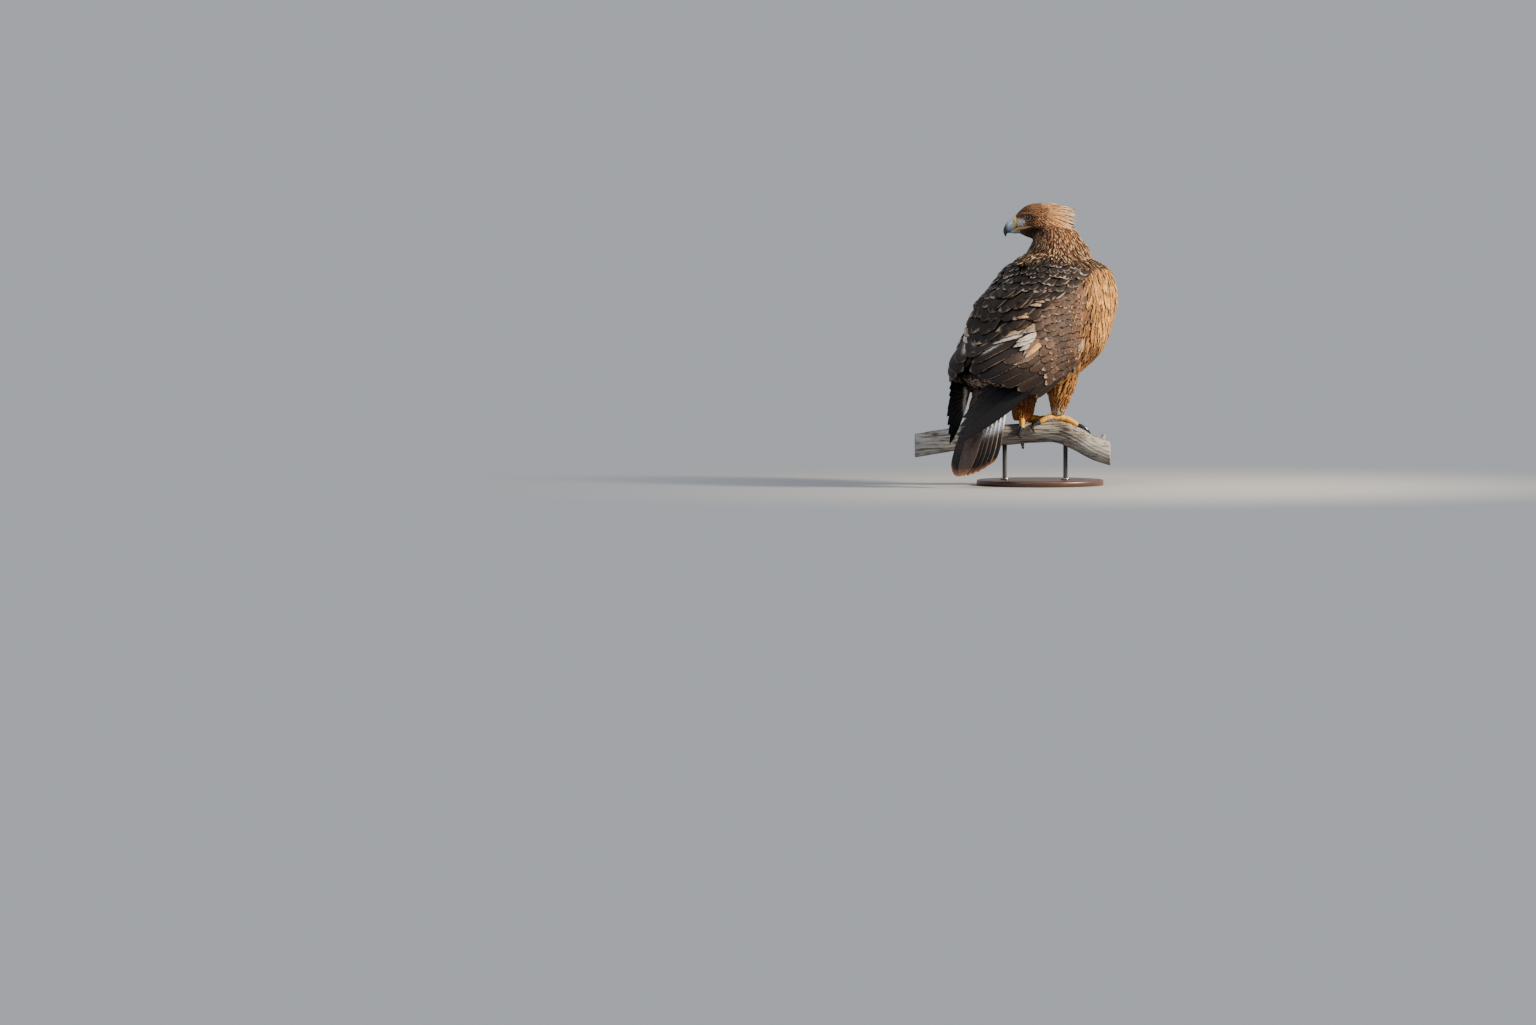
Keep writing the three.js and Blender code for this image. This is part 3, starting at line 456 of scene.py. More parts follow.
def tail_frame(t, across, lift):
    """A point of the tail by share of its length and way across, and its upper face's normal."""
    t, across, lift = np.broadcast_arrays(*(np.asarray(v, float) for v in (t, across, lift)))
    y, z = np.moveaxis(tail_at(t), -1, 0)
    ahead = tail_at(np.minimum(t + 0.02, 1))
    behind = tail_at(np.maximum(t - 0.02, 0))
    normal = unit(np.stack([0 * y, -(ahead - behind)[..., 1], (ahead - behind)[..., 0]], -1))
    bow = -((across / TAIL_HALF_SPREAD) ** 2) * 10 * t
    point = np.stack([across, y, z], -1) + normal * (lift + bow)[..., None]
    tilted = normal + np.stack([across * 0.004, 0 * y, 0 * y], -1)
    return point, unit(tilted)


# The tail's fleshy root: share of its length, half width, half depth.
TAIL_FLESH = ((0, 42, 22), (0.12, 40, 18), (0.26, 34, 12), (0.4, 28, 7), (0.48, 20, 4))


def tail_rings():
    rings = []
    for t, half, depth in TAIL_FLESH:
        point, normal = tail_frame(t, 0, -4)
        rings.append(ring(point, (1, 0, 0), normal, half, depth, 24))
    return rings


# Front edge and ridge of a wing's body: share of the way down, place along the branch, height.
CORE_FRONT = smooth_table([(0, 108, 520), (0.4, 118, 455), (0.75, 106, 370), (1, 84, 312)])
CORE_RIDGE = smooth_table([(0, -36, 548), (0.35, -118, 432), (0.7, -166, 362), (1, -186, 322)])
CORE_SAG = 60.0


def core_place(across, down):
    """Place and height of a wing's body, by shares of the way across and down."""
    front = CORE_FRONT(down)
    ridge = CORE_RIDGE(down)
    place = lerp(front[..., 0], ridge[..., 0], across)
    height = lerp(front[..., 1], ridge[..., 1], across)
    return place, height - CORE_SAG * np.sin(math.pi * across) * down ** 3


def wing_slab(side, under):
    """Vertices and faces of one folded wing's body."""
    count = 22
    across, down = np.meshgrid(np.linspace(0.03, 0.99, count), np.linspace(0.02, 0.97, count))
    place, height = core_place(across, down)
    outer = wing_frame(place, height, -under)[0].reshape(-1, 3)
    inner = wing_frame(place, height, -WING_DEPTH - 3)[0].reshape(-1, 3)
    points = np.vstack([outer, inner])
    points[:, 0] = np.minimum(points[:, 0], -0.2)
    points[:, 0] *= -side
    shift = count * count
    faces = []
    for r in range(count - 1):
        for c in range(count - 1):
            a = r * count + c
            faces.append((a, a + 1, a + 1 + count, a + count))
            faces.append((a + shift, a + count + shift, a + count + 1 + shift, a + 1 + shift))
    edge = ([c for c in range(count - 1)] + [r * count + count - 1 for r in range(count - 1)]
            + [(count - 1) * count + c for c in range(count - 1, 0, -1)]
            + [r * count for r in range(count - 1, 0, -1)])
    for i, a in enumerate(edge):
        b = edge[(i + 1) % len(edge)]
        faces.append((b, a, a + shift, b + shift))
    return points, faces


# The ridge over each eye: forward, outward, height, then its radii.
BROW_PATH = [(53, 14, 701.5), (41, 25, 704), (27, 31.8, 704), (10, 34, 701), (-4, 34, 699)]
BROW_RADII = ((0, 0.2, 0.5, 0.75, 1), (1.8, 3.4, 4.4, 3.6, 2))


def brow_rings(side):
    points = [in_head(forward, side * left, height) for forward, left, height in BROW_PATH]
    return tube_rings(points, np.interp(np.linspace(0, 1, 24), *BROW_RADII), 16)


def sink_sockets(mesh):
    """Draws the skin in round each eye, so that it lies under the brow."""
    points = mesh_points(mesh)
    for side in (-1, 1):
        centre = in_head(EYE_PLACE[0] + 2, side * (EYE_PLACE[1] + 5), EYE_PLACE[2] - 1)
        away = np.linalg.norm(points - centre, axis=1)
        points += np.outer(-side * 4 * smooth(14, 6, away), HEAD_LEFT)
    move_points(mesh, points)


def build_skin():
    vertices = []
    faces = []

    def take(points, polygons):
        start = sum(len(v) for v in vertices)
        vertices.append(np.asarray(points))
        faces.extend([tuple(int(i) + start for i in polygon) for polygon in polygons])

    solids = [trunk_rings(COAT_DEPTH), neck_rings(COAT_DEPTH), head_rings(2.2), tail_rings(),
              leg_rings(-1, 4), leg_rings(1, 4), brow_rings(-1), brow_rings(1)]
    for rings in solids:
        points, quads, caps = loft_arrays(rings)
        take(points, quads.tolist() + caps.tolist())
    for side in (-1, 1):
        take(*wing_slab(side, COAT_DEPTH))
    mesh = bpy.data.meshes.new("skin")
    mesh.from_pydata((np.vstack(vertices) * MM).tolist(), [], faces)
    skin = link("skin", mesh)
    remesh = skin.modifiers.new("one", "REMESH")
    remesh.mode = "VOXEL"
    remesh.voxel_size = SKIN_VOXEL * MM
    remesh.use_smooth_shade = True
    relax = skin.modifiers.new("relax", "SMOOTH")
    relax.factor = 0.5
    relax.iterations = 5
    bpy.context.view_layer.update()
    done = bpy.data.meshes.new_from_object(skin.evaluated_get(bpy.context.evaluated_depsgraph_get()))
    skin.modifiers.clear()
    skin.data = done
    done.name = "skin"
    sink_sockets(done)
    return skin


def unwrap(skin):
    """The skin's own unwrap, which also places each feather's patch."""
    bpy.context.view_layer.objects.active = skin
    skin.select_set(True)
    skin.data.uv_layers.new(name="OFBake")
    bpy.ops.object.mode_set(mode="EDIT")
    bpy.ops.mesh.select_all(action="SELECT")
    bpy.ops.uv.smart_project(angle_limit=math.radians(66), island_margin=0.002)
    bpy.ops.object.mode_set(mode="OBJECT")
    skin.select_set(False)


class Surface:
    """Looks up the nearest place of the skin, and its place on the unwrap."""

    def __init__(self, skin):
        mesh = skin.data
        mesh.calc_loop_triangles()
        self.points = mesh_points(mesh)
        self.normals = values_of(mesh.vertices, "normal", 3).astype(float)
        self.triangles = values_of(mesh.loop_triangles, "vertices", 3, np.int32)
        loops = values_of(mesh.loop_triangles, "loops", 3, np.int32)
        self.uv = values_of(mesh.uv_layers["OFBake"].data, "uv", 2)[loops]
        self.tree = BVHTree.FromPolygons(self.points.tolist(), self.triangles.tolist())

    def nearest(self, points):
        """Nearest points, smooth normals and unwrap places for rows of points."""
        found = np.empty((len(points), 3))
        index = np.empty(len(points), int)
        for i, point in enumerate(points):
            place, _, face, _ = self.tree.find_nearest(Vector(point))
            found[i] = place
            index[i] = face
        corners = self.points[self.triangles[index]]
        a, b, c = corners[:, 0], corners[:, 1], corners[:, 2]
        v0, v1, v2 = b - a, c - a, found - a
        d00, d01, d11 = (v0 * v0).sum(1), (v0 * v1).sum(1), (v1 * v1).sum(1)
        d20, d21 = (v2 * v0).sum(1), (v2 * v1).sum(1)
        area = np.maximum(d00 * d11 - d01 * d01, 1e-12)
        v = (d11 * d20 - d01 * d21) / area
        w = (d00 * d21 - d01 * d20) / area
        weights = np.stack([1 - v - w, v, w], -1)
        normals = unit((self.normals[self.triangles[index]] * weights[..., None]).sum(1))
        uv = (self.uv[index] * weights[..., None]).sum(1)
        return found, normals, uv

    def scatter(self, gap, keep):
        """Places on the skin at least gap(p) apart, where keep(p) is true."""
        corners = self.points[self.triangles]
        cross = np.cross(corners[:, 1] - corners[:, 0], corners[:, 2] - corners[:, 0])
        area = np.linalg.norm(cross, axis=1) / 2
        middle = corners.mean(1)
        wanted = keep(middle)
        share = np.where(wanted, area / gap(middle) ** 2, 0)
        count = int(share.sum() * TRIES)
        pick = RNG.choice(len(area), count, p=share / share.sum())
        a, b = RNG.random((2, count))
        flip = a + b > 1
        a[flip], b[flip] = 1 - a[flip], 1 - b[flip]
        tri = corners[pick]
        points = tri[:, 0] + a[:, None] * (tri[:, 1] - tri[:, 0]) + b[:, None] * (tri[:, 2] - tri[:, 0])
        points = points[keep(points)]
        spacing = gap(points)
        tree = KDTree(len(points))
        for i, point in enumerate(points):
            tree.insert(point, i)
        tree.balance()
        taken = np.zeros(len(points), bool)
        gone = np.zeros(len(points), bool)
        for i, point in enumerate(points):
            if gone[i]:
                continue
            taken[i] = True
            for _, other, _ in tree.find_range(point, spacing[i]):
                gone[other] = True
        return points[taken]


# Feathers: outlines as place along the feather and share of its half width.
ROUND = ((0, 0.25), (0.12, 0.55), (0.35, 0.86), (0.6, 1), (0.8, 0.96), (0.91, 0.76), (0.97, 0.46), (1, 0.1))
LOOSE = ((0, 0.4), (0.15, 0.7), (0.4, 1), (0.65, 0.92), (0.82, 0.68), (0.93, 0.36), (1, 0.05))
LANCE = ((0, 0.45), (0.2, 0.85), (0.42, 1), (0.62, 0.82), (0.8, 0.5), (0.93, 0.2), (1, 0.03))
FLIGHT = ((0, 0.35), (0.1, 0.75), (0.3, 0.94), (0.6, 1), (0.82, 0.97), (0.92, 0.8), (0.975, 0.5), (1, 0.1))
BLADE = ((0, 0.6), (0.12, 0.9), (0.4, 1), (0.62, 0.86), (0.8, 0.6), (0.92, 0.36), (1, 0.05))
# Half the size of a feather's patch on the skin's unwrap.
PATCH_SIZE = 0.0015


def vane_axes(line, normals, roll):
    """Directions across each feather and out of its face, turned by its roll."""
    tangent = unit(np.gradient(line, axis=1))
    side = unit(np.cross(tangent, normals))
    out = unit(np.cross(side, tangent))
    lean = roll[:, None, None]
    return side * np.cos(lean) + out * np.sin(lean), out * np.cos(lean) - side * np.sin(lean)


def vane_quads(rows, columns):
    """Quads of one feather's upper and under faces, which share its outer columns."""
    inner = columns - 2

    def low(r, c):
        return r * columns + c if c in (0, columns - 1) else rows * columns + r * inner + c - 1

    quads = []
    for r in range(rows - 1):
        for c in range(columns - 1):
            a = r * columns + c
            quads.append((a, a + 1, a + 1 + columns, a + columns))
            quads.append((low(r, c), low(r + 1, c), low(r + 1, c + 1), low(r, c + 1)))
    return np.array(quads)


def vane_points(line, axes, width, rag, x, thick, cup):
    """Points of feathers: a cupped upper face with ragged edges, then the under face's inner columns."""
    side, out = (axis[:, :, None] for axis in axes)
    reach = width[:, :, None] * x
    reach[:, :, 0] -= rag[:, :, 0]
    reach[:, :, -1] += rag[:, :, 1]
    droop = -cup * width[:, :, None] * x ** 2
    middle = line[:, :, None] + side * reach[..., None] + out * droop[..., None]
    body = (thick[:, None] * (1 - x ** 2))[..., None]
    upper = middle + out * body
    under = middle[:, :, 1:-1] - out * (body[:, 1:-1] * 0.4)
    return np.concatenate([face.reshape(len(line), -1, 3) for face in (upper, under)], 1)


class Feathers:
    """Collects feathers of one piece and makes them one mesh of thin closed vanes."""

    def __init__(self, name, surface):
        self.name = name
        self.surface = surface
        self.count = 0
        self.layers = [[], [], [], [], [], []]

    def add(self, line, normals, half, outline, base, edge, *, columns=3, thick=0.5, cup=0.12, roll=0.0,
            ragged=0.0, fringe=0.5, shade=None):
        """line: N x rows x 3 mid lines from root to tip, normals the same shape.

        half, roll and fringe are numbers or N long; base and edge are N x 3 colours;
        shade(base, x, t) may change the base colour over the feather."""
        count, rows = line.shape[:2]
        if count == 0:
            return
        half, roll, fringe = (np.broadcast_to(np.asarray(v, float), count) for v in (half, roll, fringe))
        t = np.linspace(0, 1, rows)
        x = np.linspace(-1, 1, columns)
        share = np.interp(t, *zip(*outline))
        share[-1] = max(outline[-1][1], 0.03)
        rag = np.abs(RNG.normal(0, 1, (count, rows, 2)) * ragged * half[:, None, None]) * share[:, None]
        thick = thick * np.minimum(1, 2.5 * (1 - t) + 0.2)
        axes = vane_axes(line, normals, roll)
        points = vane_points(line, axes, half[:, None] * share, rag, x, thick, cup)
        grid_x = np.concatenate([np.tile(x, rows), np.tile(x[1:-1], rows)])
        grid_t = np.concatenate([np.repeat(t, columns), np.repeat(t, columns - 2)])
        total = len(grid_x)
        quads = vane_quads(rows, columns) + (self.count + np.arange(count) * total)[:, None, None]
        colours = np.repeat(base[:, None], total, 1)
        if shade is not None:
            colours = shade(colours, grid_x[None, :, None], grid_t[None, :, None])
        rims = np.repeat(np.concatenate([edge, fringe[:, None]], 1)[:, None], total, 1)
        vane = np.tile(np.stack([grid_x, grid_t], -1), (count, 1))
        offset = np.stack([grid_x, grid_t * 2 - 1], -1) * PATCH_SIZE
        patch = self.surface.nearest(line[:, 0])[2][:, None] + offset
        for layer, values in zip(self.layers, (points, quads, colours, rims, vane, patch)):
            layer.append(values.reshape(-1, values.shape[-1]))
        self.count += count * total

    def build(self):
        points, quads, base, edge, vane, patch = (np.concatenate(layer) for layer in self.layers)
        mesh = mesh_from(self.name, points, quads)
        paint(mesh, "Base", np.clip(base, 0, 1))
        paint(mesh, "Edge", edge)
        index = values_of(mesh.loops, "vertex_index", 1, np.int32)[:, 0]
        for name, places in (("OFBake", patch), ("Vane", vane)):
            layer = mesh.uv_layers.new(name=name)
            layer.data.foreach_set("uv", places[index].astype(np.float32).ravel())
        return link(self.name, mesh)


# Materials.
SOCKETS = {
    "rough": "Roughness", "specular": "Specular IOR Level", "metal": "Metallic",
    "coat": "Coat Weight", "coat_rough": "Coat Roughness",
}
BARB_SLANT = 0.22
FULL_TURN = 6.2832
SHAFT_BROWN = (0.01, 0.007, 0.005)
FEATHER_SHADE = (0.6, 0.59, 0.58)
FEATHER_LIGHT = (1.3, 1.28, 1.24)


class Shader:
    """A new material, with short names for the nodes that feed its shader."""

    def __init__(self, name):
        self.material = bpy.data.materials.new(name)
        self.material.use_nodes = True
        self.tree = self.material.node_tree
        self.main = self.tree.nodes["Principled BSDF"]

    def node(self, kind, **values):
        node = self.tree.nodes.new("ShaderNode" + kind)
        for key, value in values.items():
            setattr(node, key, value)
        return node

    def feed(self, socket, value):
        """Links an output to a socket, or sets a number, vector or colour on it."""
        if isinstance(value, bpy.types.NodeSocket):
            self.tree.links.new(value, socket)
        elif socket.type == "RGBA":
            socket.default_value = (*value, 1)
        else:
            socket.default_value = value

    def math(self, operation, a, b=None):
        node = self.node("Math", operation=operation)
        self.feed(node.inputs[0], a)
        if b is not None:
            self.feed(node.inputs[1], b)
        return node.outputs[0]

    def plus(self, a, b):
        return self.math("ADD", a, b)

    def minus(self, a, b):
        return self.math("SUBTRACT", a, b)

    def times(self, a, b):
        return self.math("MULTIPLY", a, b)

    def step(self, value, low, high):
        """A smooth step of a value from low to high."""
        node = self.node("MapRange", interpolation_type="SMOOTHSTEP")
        for name, part in (("Value", value), ("From Min", low), ("From Max", high)):
            self.feed(node.inputs[name], part)
        return node.outputs["Result"]

    def mix(self, share, a, b, blend="MIX"):
        node = self.node("Mix", data_type="RGBA", blend_type=blend)
        for slot, value in ((0, share), (6, a), (7, b)):
            self.feed(node.inputs[slot], value)
        return node.outputs[2]

    def place(self):
        return self.node("TexCoord").outputs["Object"]

    def mapped(self, name, value, vector):
        node = self.node("Mapping")
        self.feed(node.inputs[name], value)
        self.feed(node.inputs["Vector"], vector)
        return node.outputs[0]

    def noise(self, scale, detail, roughness=0.5, vector=None):
        node = self.node("TexNoise")
        vector = vector or self.place()
        parts = (("Scale", scale), ("Detail", detail), ("Roughness", roughness), ("Vector", vector))
        for name, value in parts:
            self.feed(node.inputs[name], value)
        return node.outputs["Fac"]

    def bump(self, height, strength, distance, below=None):
        node = self.node("Bump")
        for name, value in (("Strength", strength), ("Distance", distance), ("Height", height)):
            self.feed(node.inputs[name], value)
        if below is not None:
            self.feed(node.inputs["Normal"], below)
        return node.outputs["Normal"]

    def attribute(self, name):
        return self.node("Attribute", attribute_name=name)

    def done(self, colour, normal, **numbers):
        self.feed(self.main.inputs["Base Color"], colour)
        self.feed(self.main.inputs["Normal"], normal)
        for name, value in numbers.items():
            self.main.inputs[SOCKETS[name]].default_value = value
        return self.material


def feather_material(name, barbs, rough, rim_from, tip_from, core, fray=0.3):
    """Vanes with a shaft, barbs and a broken pale fringe, in the colours each feather carries."""
    m = Shader(name)
    split = m.node("SeparateXYZ")
    m.feed(split.inputs[0], m.node("UVMap", uv_map="Vane").outputs["UV"])
    across = m.math("ABSOLUTE", split.outputs["X"])
    along = split.outputs["Y"]
    edge = m.attribute("Edge").outputs
    slant = m.plus(m.times(along, barbs), m.times(across, -barbs * BARB_SLANT))
    stripes = m.math("SINE", m.times(slant, FULL_TURN))
    ragged = m.plus(m.times(m.noise(520, 4), fray), m.times(stripes, fray * 0.12))
    ragged = m.minus(ragged, fray / 2)
    rim = m.step(m.plus(across, ragged), rim_from, rim_from + 0.1)
    tip = m.step(m.plus(along, ragged), tip_from, tip_from + 0.09)
    fringe = m.math("MAXIMUM", m.times(rim, m.step(along, 0.35, 0.8)), tip)
    broken = m.times(m.step(m.noise(75, 3), 0.3, 0.5), edge["Alpha"])
    colour = m.mix(m.times(fringe, broken), m.attribute("Base").outputs["Color"], edge["Color"])
    middle = m.minus(1.0, m.step(across, 0.0, 0.55))
    colour = m.mix(m.times(middle, core), colour, SHAFT_BROWN)
    tone = m.step(m.plus(m.times(stripes, 0.06), m.noise(190, 5)), 0.25, 0.75)
    dark = m.mix(1.0, colour, FEATHER_SHADE, "MULTIPLY")
    light = m.mix(1.0, colour, FEATHER_LIGHT, "MULTIPLY")
    shaft = m.minus(1.0, m.step(across, 0.01, 0.05))
    normal = m.bump(shaft, 0.5, 0.0005, m.bump(stripes, 0.25, 0.0003))
    return m.done(m.mix(tone, dark, light), normal, rough=rough, specular=0.18)


def painted_material(name, rough, grain, depth, specular=0.5, coat=0.0, contrast=0.25):
    """A material that reads the piece's own Base colours, mottled and grained."""
    m = Shader(name)
    base = m.attribute("Base").outputs["Color"]
    fine = m.noise(grain, 6)
    dark = m.mix(1.0, base, (1 - contrast,) * 3, "MULTIPLY")
    light = m.mix(1.0, base, (1 + contrast,) * 3, "MULTIPLY")
    return m.done(m.mix(fine, dark, light), m.bump(fine, 0.6, depth), rough=rough, specular=specular,
                  coat=coat, coat_rough=0.08)


def streaked_material(name, stretch, grain, colours, relief, **numbers):
    """Grain drawn out along one direction, between two colours."""
    m = Shader(name)
    lines = m.noise(*grain, m.mapped("Scale", stretch, m.place()))
    return m.done(m.mix(lines, *colours), m.bump(lines, *relief), **numbers)


def wood_material():
    """Bare weathered wood: silver grey, cracked along the grain with painted shade in the cracks, with
    lichen.
    """
    m = Shader("weathered_wood")
    turned = m.mapped("Rotation", (0, 0, math.radians(-45)), m.place())
    stretched = m.mapped("Scale", (0.09, 1, 1), turned)
    grain = m.noise(260, 8, 0.65, stretched)
    fibre = m.noise(55, 5, 0.5, m.mapped("Scale", (0.05, 1, 1), turned))
    split = m.step(m.math("ABSOLUTE", m.minus(fibre, 0.5)), 0.002, 0.022)
    cracks = m.times(m.step(m.noise(150, 6, 0.5, stretched), 0.34, 0.44), split)
    patches = m.step(m.noise(20, 6), 0.5, 0.66)
    lichen = m.step(m.noise(60, 6), 0.62, 0.7)
    colour = m.mix(grain, WOOD_DARK, WOOD_PALE)
    colour = m.mix(m.times(patches, 0.55), colour, WOOD_BROWN)
    colour = m.mix(m.times(lichen, 0.5), colour, LICHEN)
    # Painted shade darkens the cracks.
    colour = m.mix(m.times(m.minus(1.0, cracks), 0.75), colour, CRACK_SHADE)
    own = m.attribute("Base").outputs
    colour = m.mix(m.step(own["Fac"], 0.0, 0.01), colour, own["Color"])
    normal = m.bump(grain, 0.6, 0.001, m.bump(cracks, 0.8, 0.0015))
    return m.done(colour, normal, rough=0.85, specular=0.25)


def wear(piece, material, slot, *nodes):
    piece.data.materials.clear()
    piece.data.materials.append(material)
    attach(piece, "root")
    if nodes:
        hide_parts(*nodes)
    return piece


# Where a place of the skin belongs.
NECK_FOOT = 574
LEG_TOP = 330
LEG_LENGTH = 146


def forward_of(points):
    return (points - HEAD_AT) @ FORWARD


def left_of(points):
    return (points - HEAD_AT) @ HEAD_LEFT


def head_share(points):
    """About 1 on the head's surface, less inside it and more outside."""
    forward = forward_of(points)
    half, low, high = np.moveaxis(head_at(np.clip(forward, -56, 60)), -1, 0)
    up = (points[:, 2] - (low + high) / 2) / ((high - low) / 2)
    share = np.sqrt((left_of(points) / half) ** 2 + up ** 2)
    return share + np.maximum(-forward - 56, 0) / 10 + np.maximum(forward - 62, 0) / 10


def on_head(points):
    forward = forward_of(points)
    reach = lerp(1.32, 1.6, smooth(8, 24, forward))
    return (head_share(points) < reach) & (points[:, 2] > 640 + 12 * smooth(10, -40, forward))


def on_leg(points):
    near = np.zeros(len(points), bool)
    for side, lower in ((-1, 0), (1, LEFT_LOWER)):
        t = np.clip((LEG_TOP - points[:, 2]) / (LEG_LENGTH + lower), 0, 1)
        centre, half_x, half_y = leg_frame(side, t)
        away = points[:, :2] - centre[:, :2]
        near |= (np.hypot(away[:, 0] / half_x, away[:, 1] / half_y) < 1.08) & (points[:, 2] < 300)
    return near


def on_neck(points):
    return (points[:, 2] > NECK_FOOT) & ~on_head(points)


def on_collar(points):
    """The neck, with the rear of the head from which its upper hackles hang."""
    rear = on_head(points) & (forward_of(points) < 14) & (points[:, 2] < 668)
    return on_neck(points) | rear


def on_tail(points):
    return (points[:, 1] > 170) & (points[:, 2] < 262)


def wing_share(points):
    """Place along the branch of a point, as seen on its own side of the body."""
    return points[:, 1] - np.abs(points[:, 0])


def on_wing(points):
    height = points[:, 2]
    inside = wing_share(points) > front_at(height)[:, 0] + 14
    return inside & (height < 540) & (height > 255) & ~on_leg(points)


def on_body(points):
    low_wing = on_wing(points) & (points[:, 2] > 300)
    low_tail = on_tail(points) & (points[:, 2] < 190)
    return ~on_head(points) & ~on_neck(points) & ~on_leg(points) & ~low_tail & ~low_wing


def clear_of_eyes(points):
    away = np.hypot(forward_of(points) - EYE_PLACE[0], points[:, 2] - EYE_PLACE[2])
    return (away > EYE_RADIUS - 0.8) | (np.abs(left_of(points)) > EYE_PLACE[1] + 5.5)


def clear_of_gape(points):
    """Leaves the bare edge of the mouth free of feathers."""
    forward = forward_of(points)
    line = np.interp(forward, (15, 58), (671.5, 664.5))
    half = np.interp(forward, (16, 32, 58), (0, 1.6, 2.6))
    return np.abs(points[:, 2] - line) > half


# Ground colours by place, the same on skin and coat.
def tint(colour, other, share):
    """Colours moved towards another one, each by its own share."""
    return lerp(colour, other, share[:, None])


def throat_share(points):
    """1 on the dark throat below the bill, 0 on the rest of the neck."""
    return smooth(-12, 18, forward_of(points)) * smooth(606, 640, points[:, 2])


def breast_colours(points, z, share):
    """Gold, paler gold as painted sunlight on the sunny side, rusty towards the belly and sides, dark towards
    the back.
    """
    along = points @ ALONG
    breast = tint(GOLD, RUST, smooth(430, 300, z) * 0.7)
    breast = tint(breast, RUST, smooth(540, 575, z) * 0.7)
    # Painted sunlight: paler gold on the sunny side of the breast.
    breast = tint(breast, PALE_GOLD, smooth(70, 160, along) * smooth(300, 400, z) * 0.3)
    # A dark patch of feathers, with painted shade of the cleft between breast and belly.
    patch = np.exp(-((along - 152) / 22) ** 2 - ((z - 362) / 24) ** 2)
    breast = tint(breast, DARK_BROWN, np.clip(patch * 1.6, 0, 0.95))
    front = smooth(100, 25, np.abs(points[:, 0])) * smooth(0, -80, points[:, 1])
    mottle = 0.75 + 0.25 * np.sin(points[:, 0] / 17 + z / 26)
    breast = tint(breast, RUST_DARK, front * mottle * 0.5)
    middle = smooth(-160, -240, share)[:, None]
    colour = lerp(lerp(breast, RUST, 0.7), breast, middle)
    colour = tint(colour, DARK_BROWN, smooth(-90, -30, share))
    return tint(colour, BLACK_BROWN, smooth(340, 300, z) * smooth(90, 140, points[:, 1]))


def neck_colours(points, z, share):
    neck = tint(RUST, COVERT_BROWN, 0.3 + smooth(660, 600, z) * 0.6)
    neck = tint(neck, BLACK_BROWN, smooth(612, 582, z) * smooth(-150, -60, share) * 0.85)
    return tint(neck, CHEEK, throat_share(points) * 0.9)


def leg_colours(points, z):
    """Rusty legs, the right one golden with painted sunlight on its sunny side, and white at the foot."""
    right = points[:, 0] < 0
    # Painted sunlight: the right leg turns golden on the side towards the light.
    painted_sunlight = smooth(-20, 70, points @ ALONG) * right
    leg = tint(tint(RUST, RUST_DARK, 0.5 * smooth(226, 262, z)), GOLD, painted_sunlight * 0.75)
    leg = np.where(points[:, :1] > 0, tint(leg, LEG_RUSSET, smooth(240, 190, z)), leg)
    return tint(leg, LEG_WHITE, smooth(222, 204, z) * right * 0.85)


def head_colours(points):
    """Rusty face with a dark cheek, tan crown, blond nape and pale lores."""
    forward = forward_of(points)
    left = np.abs(left_of(points))
    z = points[:, 2]
    colour = tint(repeated(RUST, len(points)), BLOND, smooth(6, -40, forward) * smooth(672, 694, z) * 0.8)
    colour = tint(colour, lerp(COVERT_BROWN, BLOND, 0.6), smooth(712, 728, z) * 0.85)
    cheek = np.exp(-(((forward - 14) / 24) ** 2 + ((z - 657) / 17) ** 2))
    colour = tint(colour, CHEEK, np.clip(cheek * 2.2, 0, 0.97))
    colour = tint(colour, RUST_DARK, smooth(662, 650, z) * smooth(0, 30, forward) * 0.8)
    colour = tint(colour, COVERT_BROWN, smooth(38, 50, forward) * smooth(700, 712, z) * 0.7)
    round_eye = np.hypot(forward - EYE_PLACE[0], z - EYE_PLACE[2])
    # A darker ring round the eye: painted shade of the eye's socket.
    colour = tint(colour, RUST_DARK, np.exp(-((round_eye - 9) / 4) ** 2) * 0.75)
    lore = np.exp(-(((forward - 48) / 11) ** 4 + ((z - 684) / 9) ** 4)) * smooth(6, 14, left)
    return tint(colour, LORE, np.clip(lore * 1.2, 0, 1))


def skin_colours(points):
    z = points[:, 2]
    share = wing_share(points)
    colour = breast_colours(points, z, share)
    colour = np.where(on_neck(points)[:, None], neck_colours(points, z, share), colour)
    colour = np.where(on_leg(points)[:, None], leg_colours(points, z), colour)
    colour = np.where(on_tail(points)[:, None], DARK_BROWN, colour)
    return np.where(on_head(points)[:, None], head_colours(points), colour)


def vary(colours, amount):
    """Each feather a little lighter or darker, warmer or cooler."""
    tone = RNG.normal(1, amount, (len(colours), 1))
    warm = RNG.normal(0, amount * 0.35, (len(colours), 1))
    return np.clip(colours * tone * (1 + warm * np.array([1, 0, -1])), 0.004, 1)


# How feathers lie.
ROOT_DEPTH = -1.2


def march(surface, roots, lie, length, rows, lift):
    """Mid lines that follow the skin from roots along the lie, rising from below it to lift."""
    current, normals, _ = surface.nearest(roots)
    lines = []
    frames = []
    lift = np.broadcast_to(lift, (len(roots),))
    for r in range(rows):
        rise = lerp(ROOT_DEPTH, lift, smooth(0, 1, (r / (rows - 1)) ** 0.8))
        lines.append(current + normals * rise[:, None])
        frames.append(normals)
        if r == rows - 1:
            break
        way = lie(current)
        way = unit(way - normals * (way * normals).sum(1, keepdims=True))
        ahead = current + way * (np.asarray(length) / (rows - 1))[:, None]
        current, normals, _ = surface.nearest(ahead)
    return np.stack(lines, 1), np.stack(frames, 1)


